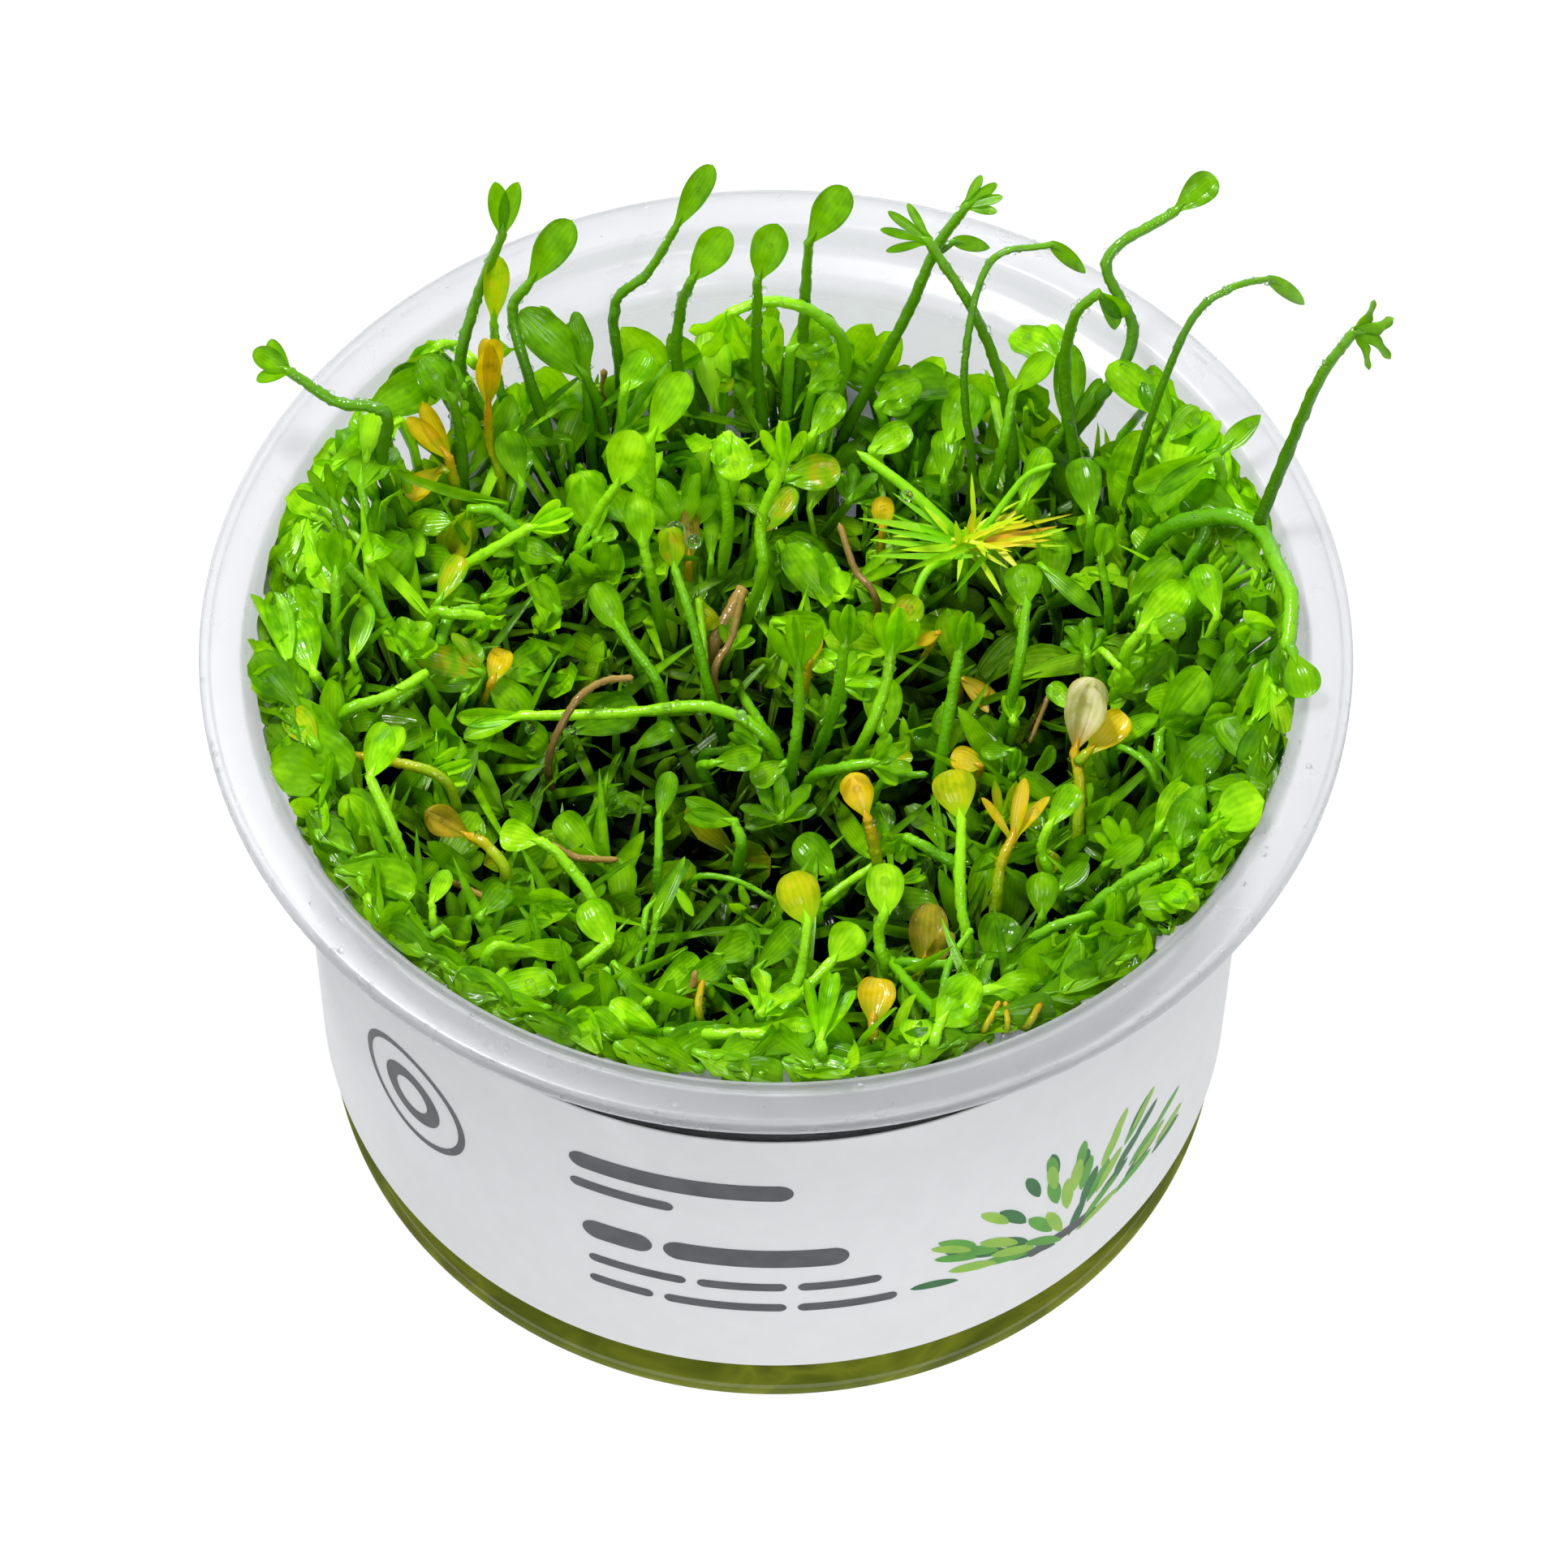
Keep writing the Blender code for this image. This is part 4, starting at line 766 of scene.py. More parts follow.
# Shorter sprouts between them, in the same way
shortSprouts = [
    ("disc", "lime", 3, [(-36, 10, 57.5), (-34.5, 13.5, 57)]),
    ("none", "green", 1.15, [(-33, 5, 51), (-34, 5.5, 54), (-36, 7, 57.5), (-38, 7.5, 60.5)]),
    ("lance", "lime", 2, [(-37, 0, 56.5), (-35.5, 5, 58.5)]),
    ("spoon", "patch", 2.5, [(-30.5, 9, 50), (-30, 9, 52.5), (-28, 13, 54.5)]),
    ("pair", "green", 2, [(-26, 10.5, 51.5), (-23.5, 12, 51.5)]),
    ("cup", "green", 1.8, [(-25, 12.5, 51), (-24, 13, 52.5)]),
    ("clover", "green", 4.5, [(-30, 1, 48), (-32.5, 2, 54), (-31.5, 5, 56)]),
    ("clover", "lime", 3.5, [(-30.5, 6, 53.5), (-28.5, 6, 55), (-26, 6.5, 54), (-25.5, 6.5, 51)]),
    ("broad", "patch", 2.8, [(-26, 3, 50.5), (-31, 2, 54.5)]),
    ("disc", "orange", 2.4, [(-25, 2.5, 50), (-24, 5.5, 51)]),
    ("lance", "green", 2, [(-27.5, 1, 49.5), (-26.5, 3.5, 51)]),
    ("spoon", "green", 3.5, [(-25.5, 3.5, 49.5), (-22, 0, 48)]),
    ("none", "lime", 1.1, [(-37.5, -6, 56), (-33.5, -3.5, 56), (-30.5, 0.5, 54)]),
    ("broad", "green", 3, [(-40, 2, 59.5), (-43, 5, 60.5)]),
    ("spoon", "lime", 4, [(-40, -3.5, 59), (-42, 1.5, 60.5)]),
    ("disc", "patch", 3, [(-39.5, -11.5, 60), (-42, -8, 60.5)]),
    ("broad", "green", 2.6, [(-35.5, -23, 59), (-30.5, -25.5, 59.5)]),
    ("lance", "green", 2, [(-35, -25.5, 60), (-33, -29.5, 58.5)]),
    ("lance", "lime", 1.8, [(-28, -28.5, 55), (-29, -26.5, 58), (-27.5, -23, 58.5)]),
    ("spoon", "green", 2.8, [(-25, -26.5, 56), (-22.5, -22, 55)]),
    ("disc", "green", 4, [(-30.5, -32, 59), (-26, -35.5, 60)]),
    ("broad", "lime", 3, [(-24.5, -36.5, 59), (-18, -35.5, 60.5)]),
    ("lance", "lime", 2, [(-24, -33, 57), (-23.5, -32.5, 60.5), (-21.5, -31.5, 59), (-16, -29, 54.5)]),
    ("spoon", "green", 2, [(-13.5, -29.5, 53.5), (-11.5, -33, 55)]),
    ("none", "green", 0.9, [(-14, -35.5, 55), (-14, -32, 57)]),
    ("spoon", "lime", 2.4, [(-10.5, -34.5, 55.5), (-5.5, -27, 52.5)]),
    ("spoon", "green", 2.4, [(-8.5, -33.5, 54.5), (-3.5, -28, 53)]),
    ("lance", "lime", 1, [(-8.5, -18, 48), (-7, -20.5, 47.5)]),
    ("none", "green", 0.6, [(-7.5, -15.5, 44.5), (-4, -16, 46.5), (0, -17.5, 45.5)]),
    ("none", "orange", 0.75, [(-6, -35.5, 54), (-6, -31, 53.5)]),
    ("broad", "green", 3, [(-9.5, -43, 58.5), (-3, -40.5, 60.5)]),
    ("disc", "green", 1.8, [(-19, 18, 46), (-16, 18.5, 49.5), (-14.5, 19.5, 50)]),
    ("spoon", "green", 2.6, [(-19.5, 16.5, 49), (-23, 16.5, 51)]),
    ("pair", "green", 3.5, [(-19.5, 11.5, 48), (-21.5, 13, 51)]),
    ("bud", "green", 2.6, [(-11.5, 7.5, 42), (-14, 11, 47.5), (-16, 13, 50)]),
    ("spoon", "yellow", 1.8, [(-6.5, 6, 41), (-6.5, 9.5, 45), (-7, 13, 48), (-5.5, 11, 46)]),
    ("clover", "green", 2.2, [(-4, 10, 45), (-3, 11.5, 47)]),
    ("none", "dry", 1.5, [(-6, 10.5, 43), (-4.5, 13, 45), (-3, 16, 46)]),
    ("spoon", "dark", 4, [(-18.5, 0, 45.5), (-12, 3, 46)]),
    ("spoon", "green", 2, [(-12.5, -2, 46), (-9, 0, 47)]),
    ("broad", "green", 3, [(-24, 4, 49), (-19.5, 7.5, 48.5)]),
    ("spoon", "green", 1.8, [(-6.5, -2, 44), (-4.5, -2, 46), (-1.5, -1, 47)]),
    ("clover", "dark", 3, [(-15, -7, 43.5), (-13.5, -5.5, 45)]),
    ("spoon", "green", 3, [(-15.5, -13.5, 45.5), (-19, -10, 47.5)]),
    ("none", "dry", 0.7, [(-21, -13.5, 47), (-17, -15, 48), (-13.5, -14.5, 47)]),
    ("lance", "green", 1.4, [(-12, -28, 48), (-11, -20, 47.5), (-7, -14.5, 48)]),
    ("blade", "dark", 0.9, [(-8, -21, 44), (-1.5, -13, 46)]),
    ("disc", "green", 3, [(-5, -27.5, 51.5), (-1.5, -25, 51)]),
    ("disc", "patch", 3, [(10.5, 10, 48), (12.5, 11.5, 50.5)]),
    ("disc", "orange", 1.8, [(3, 6.5, 48), (3.5, 8, 50)]),
    ("broad", "lime", 2, [(5.5, 6.5, 48), (3, 6, 48)]),
    ("clover", "lime", 2.8, [(5.5, 4.5, 42), (6, 5.5, 46), (9, 5.5, 48)]),
    ("disc", "green", 3.8, [(9.5, 1.5, 44), (9.5, 5.5, 47)]),
    ("clover", "dark", 2.5, [(4, 3, 43), (5.5, 4.5, 45)]),
    ("pair", "green", 2.3, [(-1.5, -2, 46), (-4, -1, 48)]),
    ("none", "green", 1.1, [(0, -2, 45), (-1.5, 2.5, 44), (-4, 8.5, 42)]),
    ("spoon", "green", 2.5, [(1, -4, 47), (-2, -6, 47)]),
    ("spoon", "patch", 1.8, [(7, -3, 47), (12, -4, 48)]),
    ("clover", "green", 3.2, [(0.5, -8, 44), (2, -5.5, 47)]),
    ("clover", "dark", 2.5, [(0.5, -8, 44), (-2.5, -6.5, 46)]),
    ("disc", "green", 2, [(15, -1.5, 44), (15, 1, 49), (14.5, -1.5, 48)]),
    ("lance", "orange", 1.2, [(14.5, 10, 47.5), (12.5, 9, 47)]),
    ("pair", "orange", 2.2, [(16.5, 8, 43.5), (19.5, 4.5, 44)]),
    ("broad", "dark", 2.2, [(15, -1, 44), (12.5, 0.5, 46)]),
    ("disc", "orange", 2.4, [(18, -5.5, 49), (15.5, -5, 50)]),
    ("none", "dark", 0.8, [(9, -5.5, 45), (13.5, -5, 47)]),
    ("disc", "green", 3.4, [(5, -15, 46), (2, -12.5, 48)]),
    ("clover", "green", 3, [(16, -15.5, 46), (13.5, -14.5, 49), (11.5, -13.5, 49.5), (10, -14.5, 47.5)]),
    ("pair", "green", 1.5, [(11, -17.5, 48.5), (13, -17.5, 50)]),
    ("none", "lime", 0.9, [(4, -19, 46), (9, -15.5, 48.5)]),
    ("none", "green", 1.1, [(14.5, -38.5, 58.5), (11.5, -31.5, 54), (9.5, -25, 49)]),
    ("none", "green", 1, [(10.5, -28, 50.5), (13.5, -29, 53), (17, -28.5, 52.5)]),
    ("none", "green", 0.8, [(14.5, -33, 53), (15, -29.5, 54), (17, -25.5, 53.5)]),
    ("clover", "lime", 4.5, [(-1, -36.5, 55), (-1, -37, 57.5), (1, -31.5, 55.5)]),
    ("spoon", "dark", 3, [(-1.5, -27, 48), (-3, -21.5, 48.5)]),
    ("spoon", "green", 2.8, [(-1.5, -27.5, 49.5), (2.5, -23, 50.5)]),
    ("cup", "lime", 4, [(4, -42, 59), (4, -41.5, 60.5), (5, -35, 60)]),
    ("disc", "lime", 3, [(12, -42, 58.5), (12, -41.5, 60), (12, -39, 60.5)]),
    ("broad", "lime", 3.6, [(13.5, -41, 58.5), (14, -39.5, 60.5), (17, -36.5, 63)]),
    ("spoon", "green", 3, [(22, 11, 46), (22, 11.5, 49), (21.5, 15, 51)]),
    ("lance", "green", 1.8, [(23.5, 15, 51), (28.5, 9.5, 51.5)]),
    ("clover", "green", 3, [(28, 4, 47), (27.5, 5.5, 51), (26.5, 8, 52.5)]),
    ("disc", "green", 2.4, [(27.5, 5, 51), (28, 7, 52)]),
    ("lance", "patch", 1.5, [(32, 7.5, 53.5), (31.5, 11.5, 55.5)]),
    ("spoon", "lime", 3.4, [(32, 4.5, 52), (36, 7, 59)]),
    ("broad", "green", 3.5, [(30, 1.5, 51), (34.5, 2, 55.5)]),
    ("broad", "lime", 2, [(28.5, 3.5, 53), (30, 1, 55), (31, -0.5, 52.5)]),
    ("cup", "lime", 3, [(21, 1, 44.5), (21, 0.5, 47.5), (21, 2.5, 49.5)]),
    ("disc", "lime", 2, [(26, 0.5, 49.5), (24, 3, 50)]),
    ("spoon", "green", 4, [(33, -9, 51.5), (33.5, -5.5, 54), (37, -3, 59.5)]),
    ("lance", "lime", 2, [(28.5, -5.5, 52.5), (33, -5, 56)]),
    ("none", "green", 0.7, [(29.5, -6.5, 53), (32, -9, 55), (33.5, -11, 53)]),
    ("broad", "dark", 3.5, [(34.5, -12.5, 56.5), (38, -10.5, 60.5)]),
    ("broad", "lime", 3, [(33, -17, 56.5), (35.5, -14, 59)]),
    ("spoon", "green", 1.8, [(21, -3.5, 48.5), (18, -3.5, 48.5)]),
    ("cup", "green", 2.4, [(21, -5, 47), (21.5, -3.5, 49)]),
    ("none", "dry", 0.5, [(24, 2.5, 48), (22.5, -1, 46)]),
    ("bud", "patch", 2.4, [(23, -19, 52), (24, -17.5, 53.5)]),
    ("lance", "green", 2, [(24.5, -21.5, 53.5), (27, -19.5, 55)]),
    ("cup", "green", 3.4, [(30.5, -19.5, 55), (28.5, -15.5, 55.5)]),
    ("disc", "green", 2.6, [(28.5, -19.5, 54.5), (31, -19.5, 58)]),
    ("none", "green", 1.3, [(27, -25, 55), (30, -24, 58.5), (33.5, -23, 60.5)]),
    ("disc", "dark", 2.6, [(20, -31, 55.5), (23, -28.5, 56)]),
    ("claw", "green", 3.2, [(25.5, -35, 58.5), (25.5, -30, 60)]),
    ("broad", "dark", 2.2, [(27, -34.5, 59), (29.5, -32.5, 59)]),
    ("broad", "green", 3.4, [(34.5, -20, 58.5), (35.5, -17.5, 61.5)]),
    ("none", "orange", 0.6, [(17.5, -39.5, 58.5), (19, -37, 60)]),
    ("none", "orange", 0.6, [(19.5, -39.5, 58.5), (19.5, -37, 60)]),
    ("none", "orange", 0.7, [(21, -39, 58.5), (22.5, -37, 60)]),
    ("broad", "green", 3.5, [(-30.5, 32, 58.5), (-31.5, 31, 58.5)]),
    ("none", "lime", 1.1, [(-30.5, 32, 58.5), (-28.5, 33.5, 58.5)]),
    ("broad", "green", 3.2, [(-30, 30.5, 58.5), (-31.5, 31, 58.5)]),
    ("lance", "green", 2, [(-26.5, 31.5, 58.5), (-24, 34.5, 58.5)]),
    ("broad", "green", 4, [(-17.5, 33.5, 55.5), (-23, 36.5, 59.5)]),
    ("disc", "patch", 3.6, [(1, 26, 49), (5.5, 26, 50.5)]),
    ("clover", "dark", 3, [(6.5, 25, 47), (8, 27, 49.5)]),
    ("clover", "green", 4, [(-8.5, 22, 46.5), (-9, 24.5, 51.5)]),
    ("disc", "patch", 2.6, [(-1.5, 21.5, 47), (1.5, 24, 50)]),
    ("lance", "brown", 2, [(-8, 19.5, 45), (-8, 22.5, 49)]),
    ("spoon", "green", 1.6, [(-6, 19.5, 45), (-6, 23, 48.5)]),
    ("broad", "lime", 2.6, [(3, 34, 52), (5.5, 35, 54.5)]),
    ("broad", "green", 3.5, [(1, 36, 55), (5, 37.5, 57.5)]),
    ("disc", "lime", 4, [(15.5, 29, 51), (17.5, 32, 55)]),
    ("disc", "lime", 3, [(8.5, 28.5, 50), (12, 30, 51.5)]),
    ("spoon", "green", 2.6, [(15, 25.5, 49.5), (15, 29.5, 52)]),
    ("spoon", "green", 2.5, [(20, 26, 52.5), (21, 29, 58), (24, 30, 62)]),
    ("disc", "orange", 2.2, [(9.5, 22, 47), (9.5, 24, 49)]),
    ("spoon", "lime", 2.6, [(22, 22, 50.5), (24, 25.5, 54.5)]),
    ("broad", "dark", 3, [(26, 27, 56), (26, 30.5, 62.5)]),
    ("clover", "lime", 4.5, [(6, 35.5, 54), (3.5, 36, 60), (-1, 36, 62), (-4.5, 35, 61.5), (-5, 33.5, 56)]),
    ("spoon", "green", 3, [(-23, 22.5, 52), (-24.5, 26, 55.5)]),
    ("disc", "lime", 3, [(-14, 32.5, 53.5), (-12, 35, 56)]),
    ("spoon", "lime", 3, [(3, 30, 50), (5.5, 32.5, 53)]),
    ("broad", "green", 3.2, [(9, 32, 52), (12.5, 33, 54.5)]),
    ("spoon", "green", 3.4, [(28, 18.5, 53), (27, 23.5, 56)]),
    ("broad", "green", 3.6, [(31.5, 8.5, 54.5), (35, 10, 58.5)]),
    ("spoon", "lime", 3, [(38.5, 4, 58.5), (37, 8, 61)]),
]
stalk = {
    "radius": 0.57,
    "slim": (0.2, 0.12),       # a small leaf's stalk is thinner: this much, and this share of its width
    "taper": (1.1, 0.8),       # radius at the foot and at the leaf
    "sides": 8,
    "stepsPerMm": 1.8,
    "rough": 0.08,
    "rootDepth": 14.0,         # how far below its first point a stalk starts
    "spread": 0.45,            # and how much of its way from the plantlet's middle it keeps there
    "shownDepth": 5.0,         # below the canopy's top by this much it is hidden
    "fine": 1.6,               # fineness of its leaf
}
tintOfStalk = {"green": "green", "lime": "lime", "dark": "dark", "patch": "green", "yellow": "lime",
               "orange": "amber", "brown": "amber", "pale": "amber", "dry": "dry"}

# The plantlets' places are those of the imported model's mounds
plantletNames = sorted(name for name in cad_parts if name.startswith("plantlet"))
plantletRings = {"inner": (6, 16.6), "outer": (12, 33.0)}   # how many, and how far out


def plantletPlace(name):
    if name == "plantlet_middle":
        return np.zeros(2)
    ring, number = name.split("_")[1:]
    count, radius = plantletRings[ring]
    angle = 2 * math.pi * (int(number) - 1) / count
    return radius * np.array((math.cos(angle), math.sin(angle)))


places = np.array([plantletPlace(name) for name in plantletNames])
leafSlots = {tint: i for i, tint in enumerate(leafTints)}
stalkSlots = {tint: len(leafSlots) + i for i, tint in enumerate(stalkTints)}


def nearest(x, y):
    return int(np.hypot(places[:, 0] - x, places[:, 1] - y).argmin())


def intoLeaf(stem, tip, radii):
    # a stem that runs on a little into its leaf, where it thins out to the leaf's middle vein
    foot = stem[-1]
    more = [foot + (tip - foot) * share for share in (0.07, 0.15, 0.26)]
    return np.vstack([stem, more]), np.concatenate([radii, radii[-1] * np.array((0.75, 0.4, 0.12))])


# Where a drawn sprout shows: no leaf of a crowd layer that yields is set in front of it, seen from the
# camera's side
lookDown = math.radians(cameraSetup["down"])
pictureAxes = np.array(((1, 0, 0), (0, math.sin(lookDown), math.cos(lookDown)),
                        (0, -math.cos(lookDown), math.sin(lookDown))))  # right, up and towards the camera


class Clearings:
    def __init__(self):
        self.spots = []

    def keep(self, points, radius):
        self.spots += [(*(pictureAxes @ point), radius) for point in points]

    def hidden(self, points, half):
        # true where a leaf of this half width would stand in front of one
        spots = np.array(self.spots)
        for right, up, near in (pictureAxes @ point for point in points):
            apart = np.hypot(spots[:, 0] - right, spots[:, 1] - up)
            if ((apart < spots[:, 3] + half) & (near > spots[:, 2] - 1)).any():
                return True
        return False


# Condensation: drops lie on some leaves, and small ones hang along the drawn stalks
dew = {
    "leafShare": 0.3,
    "leafSize": (0.22, 0.5),
    "leafSquash": 0.55,        # drops on a leaf are flatter than those on a stalk
    "stalkStep": 1.4,
    "stalkSize": (0.14, 0.4),
    "stalkSquash": 0.9,
}


def addStalkDew(drops, path, radius, draw):
    along = unit(np.gradient(path, axis=0))
    side = unit(np.cross(along, lightSide))
    face = np.cross(side, along)
    length = np.linalg.norm(np.diff(path, axis=0), axis=1).sum()
    for _ in range(int(length / dew["stalkStep"])):
        chances = draw.random(3)
        at = int(chances[0] * (len(path) - 1))
        turn = chances[1] * 2 * math.pi
        out = side[at] * math.cos(turn) + face[at] * math.sin(turn)
        low, high = dew["stalkSize"]
        size = low + (high - low) * chances[2] ** 2
        drops.append((path[at] + out * radius, size, out, dew["stalkSquash"]))


def addLeafDew(drops, spot, width, draw):
    chances = draw.random(2)
    if chances[0] < dew["leafShare"]:
        low, high = dew["leafSize"]
        size = min(low + (high - low) * chances[1], width / 5)
        point, normal = spot
        drops.append((point + normal * size * 0.3, size, normal, dew["leafSquash"]))


# How far out a stem's middle line and any leaf's point may lie: below the ledge, and from there to the
# given height over the rim. Above that they are free to lean out.
insideOf = {"stem": (40.4, 44.6, 0.0), "leaf": (41.0, 45.2, 0.5)}


def pressInside(points, kind):
    # what would reach through the clear wall or the rim lies against it
    wallReach, rimReach, over = insideOf[kind]
    away = np.hypot(points[:, 0], points[:, 1])
    limit = np.where(points[:, 2] < canopy["shoulder"], wallReach, rimReach)
    limit = np.where(points[:, 2] > cupHeight + over, away, limit)
    points[:, :2] *= np.minimum(1, limit / np.maximum(away, 1))[:, None]
    return points


def addDrawnSprouts(gathers, clearings, drops, draw):
    home = 0
    least, perWidth = stalk["slim"]
    for form, tint, width, route, *branch in longSprouts + shortSprouts:
        points = [np.array(p, float) for p in route]
        if not branch:
            home = nearest(points[0][0], points[0][1])
            lean = places[home] + stalk["spread"] * (points[0][:2] - places[home])
            points.insert(0, np.array((*lean, points[0][2] - stalk["rootDepth"])))
        leafless = form == "none"
        stem = points if leafless else points[:-1]
        length = sum(np.linalg.norm(b - a) for a, b in zip(stem, stem[1:]))
        count = max(5, int(length * stalk["stepsPerMm"]))
        thin = width / 2 if leafless else min(stalk["radius"], least + perWidth * width)
        radii = thin * np.linspace(*stalk["taper"], count)
        chance = draw.random()
        slot = stalkSlots[tintOfStalk[tint]]
        path = pressInside(smoothRoute(stem, count), "stem")
        shown = path[path[:, 2] > canopyTop(path[:, 0], path[:, 1]) - stalk["shownDepth"]]
        if len(shown) > 1:
            clearings.keep(shown[::2], thin + 0.2)
            addStalkDew(drops, shown, thin, draw)
        if not leafless:
            path, radii = intoLeaf(path, points[-1], radii)
        addTube(gathers[home], path, radii, slot, chance, stalk["sides"], stalk["rough"], draw)
        if not leafless:
            foot, tip = points[-2:]
            clearings.keep([foot + (tip - foot) * share for share in (0.2, 0.5, 0.8)], width * 0.4)
            spot = addLeaf(gathers[home], form, foot, tip, width, leafSlots[tint], chance, None,
                           stalk["fine"], thin * 0.8)
            addLeafDew(drops, spot, width, draw)


# Canopy: the surface that the tips of the small sprouts reach, low in the middle and high at the wall
canopy = {
    "reach": 40.4,         # sprouts stay this near the middle, inside the wall
    "shoulder": 58.6,      # height of the ledge
    "middle": 47.0,        # canopy height in the middle
    "wallRise": 13.0,      # how much higher it stands along the front and side walls
    "flat": 0.35,          # share of the reach over which the middle stays flat
    # past the wall the rise goes on over the ledge, so that low leaves there take painted shade
    "steep": (1.6, 1.2),   # how the rise steepens, and where it ends, as a share of the way to the wall
    "backFrom": 8.0,       # from here back the rise gets lower
    "backOver": 22.0,      # and over this way it has lost all that it loses
    "backLoss": 0.42,      # share of the rise that is missing behind
    "inward": 0.3,         # how much sprouts at the wall lean to the middle
    "litShare": 0.65,      # at the back light shines through, so this share of leaves is a lighter green
    "hollows": [(4, 25, 6.0, 8.0), (-3, -3, 8.0, 7.0), (20, 10, 6.0, 8.0), (-10, 12, 5.0, 5.0),
                (-5, -14, 5.0, 4.0), (16.5, 19, 6.0, 6.0)],  # x, y, radius, depth
}
# The crowd of small sprouts between the long ones, from the rim and the top of the canopy down. A layer
# has a ring of this many or rows at this spacing. "feet" sets it on the ledge, this far out, and else
# "above" and "below" are where it stands against the canopy's height. "along" lays leaves along the rim,
# "yields" is the share of its width with which a leaf keeps clear of the drawn sprouts, and "wide" and
# "upright" are shares of the length.
# The brim leaves that lie flat on the ledge, and the lance, middle and grass layers below the top, take more
# of the dark tint: partly leaves that differ, partly painted shade.
crowd = [
    {"name": "lip", "ring": 200, "feet": (39.8, 43.6), "along": 0.5, "yields": 0.05, "dewy": True,
     "length": (5.0, 8.0), "wide": (0.5, 0.68), "upright": 0.6, "stalk": (0.42, 0.56),
     "inward": -0.5, "faceIn": 0.3,
     "forms": {"spoon": 55, "broad": 10, "disc": 15, "pair": 12, "lance": 8},
     "tints": {"green": 50, "lime": 42, "dark": 8}},
    {"name": "brim", "ring": 250, "feet": (42.2, 44.6), "along": 1.6, "dewy": True,
     "length": (4.4, 7.0), "wide": (0.55, 0.75), "upright": 0.1, "stalk": (0.38, 0.52),
     "inward": -0.1, "faceIn": 0.1,
     "forms": {"spoon": 60, "broad": 10, "disc": 20, "lance": 10},
     "tints": {"green": 50, "dark": 40, "lime": 10}},
    {"name": "top", "spacing": 4.5, "yields": 0.3, "dewy": True, "above": 1.0, "below": 5.0,
     "length": (4.0, 7.5), "wide": (0.42, 0.68), "upright": 1.2, "stalk": (0.42, 0.58),
     "forms": {"spoon": 38, "disc": 10, "broad": 18, "pair": 10, "cup": 8, "clover": 10, "bud": 4, "fan": 2},
     "tints": {"green": 52, "lime": 42, "patch": 3, "yellow": 2, "orange": 1}},
    {"name": "lances", "spacing": 5.6, "yields": 0.3, "above": -0.5, "below": 7.0,
     "length": (8.0, 13.0), "wide": (0.16, 0.28), "upright": 1.8, "stalk": (0.38, 0.5),
     "forms": {"lance": 100}, "tints": {"green": 56, "dark": 32, "lime": 12}},
    {"name": "wall", "ring": 120, "above": -0.5, "below": 7.0,
     "length": (6.0, 10.0), "wide": (0.34, 0.5), "upright": 2.4, "stalk": (0.4, 0.55), "faceIn": 1.2,
     "forms": {"lance": 30, "spoon": 45, "broad": 25}, "tints": {"green": 60, "lime": 30, "dark": 10}},
    {"name": "middle", "spacing": 3.5, "above": -2.0, "below": 9.0,
     "length": (3.6, 6.6), "wide": (0.42, 0.66), "upright": 0.9, "stalk": (0.36, 0.5),
     "forms": {"spoon": 44, "disc": 12, "broad": 20, "pair": 12, "clover": 8, "lance": 4},
     "tints": {"green": 56, "dark": 36, "lime": 8}},
    {"name": "grass", "spacing": 3.5, "above": -0.5, "below": 10.0,
     "length": (9.0, 16.0), "wide": (0.06, 0.1), "upright": 1.0, "stalk": (0.25, 0.35),
     "forms": {"blade": 100}, "tints": {"dark": 50, "green": 50}},
]
# The cup's ledge under its rim carries a fringe of leaves that thins out between these y at the back
ledge = {"foot": (58.8, 60.0), "reach": 45.0, "behind": (14, 30)}
crowdStem = {
    "wallBand": (0.6, 2.2),    # a ring's sprouts stand this far in from the reach, and up to this much more
    "scatter": 0.8,            # share of the spacing by which a place in a row is off
    "rootSpread": 12.0,
    "kneeAt": 0.6,             # share of the way up at which a stem bends
    "kneeSpread": 5.0,
    "points": 9,
    "taper": (1.2, 0.85),
    "fine": 0.8,               # fineness of the leaf
}


def shareBehind(y):
    return np.clip((y - canopy["backFrom"]) / canopy["backOver"], 0, 1)


def canopyTop(x, y):
    # the canopy's top without its hollows
    power, most = canopy["steep"]
    edge = (np.hypot(x, y) / canopy["reach"] - canopy["flat"]) / (1 - canopy["flat"])
    rise = canopy["wallRise"] * np.clip(edge, 0, most) ** power
    return canopy["middle"] + rise * (1 - canopy["backLoss"] * shareBehind(y))


def canopyHeight(x, y):
    height = canopyTop(x, y)
    for hx, hy, radius, depth in canopy["hollows"]:
        height -= depth * math.exp(-(((x - hx) ** 2 + (y - hy) ** 2) / radius ** 2))
    return height


def crowdSpots(layer, draw):
    # where a layer's sprouts stand: in loose rows over the whole cup, or in a ring along the wall
    reach = canopy["reach"]
    if "ring" in layer:
        inset, band = crowdStem["wallBand"]
        for i in range(layer["ring"]):
            angle = 2 * math.pi * (i + 0.7 * draw.random()) / layer["ring"]
            away = reach - inset - band * draw.random()
            yield away * math.cos(angle), away * math.sin(angle)
        return
    spacing, scatter = layer["spacing"], crowdStem["scatter"]
    rowStep = 0.866            # rows of a triangle grid stand this share of the spacing apart
    rows = int(reach / spacing / rowStep) + 1
    for row in range(-rows, rows + 1):
        for column in range(-rows, rows + 1):
            x = (column + 0.5 * (row % 2) + scatter * (draw.random() - 0.5)) * spacing
            y = (row * rowStep + scatter * (draw.random() - 0.5)) * spacing
            if math.hypot(x, y) < reach:
                yield x, y


def pick(weights, share):
    # one name from a dictionary of weights, by a share of their sum
    left = share * sum(weights.values())
    for name, weight in weights.items():
        left -= weight
        if left <= 0:
            return name
    return name


def keepInside(point):
    # moves a point in from the wall
    away = math.hypot(point[0], point[1])
    reach = canopy["reach"] if point[2] < canopy["shoulder"] else ledge["reach"]
    if away > reach:
        point[:2] *= reach / away


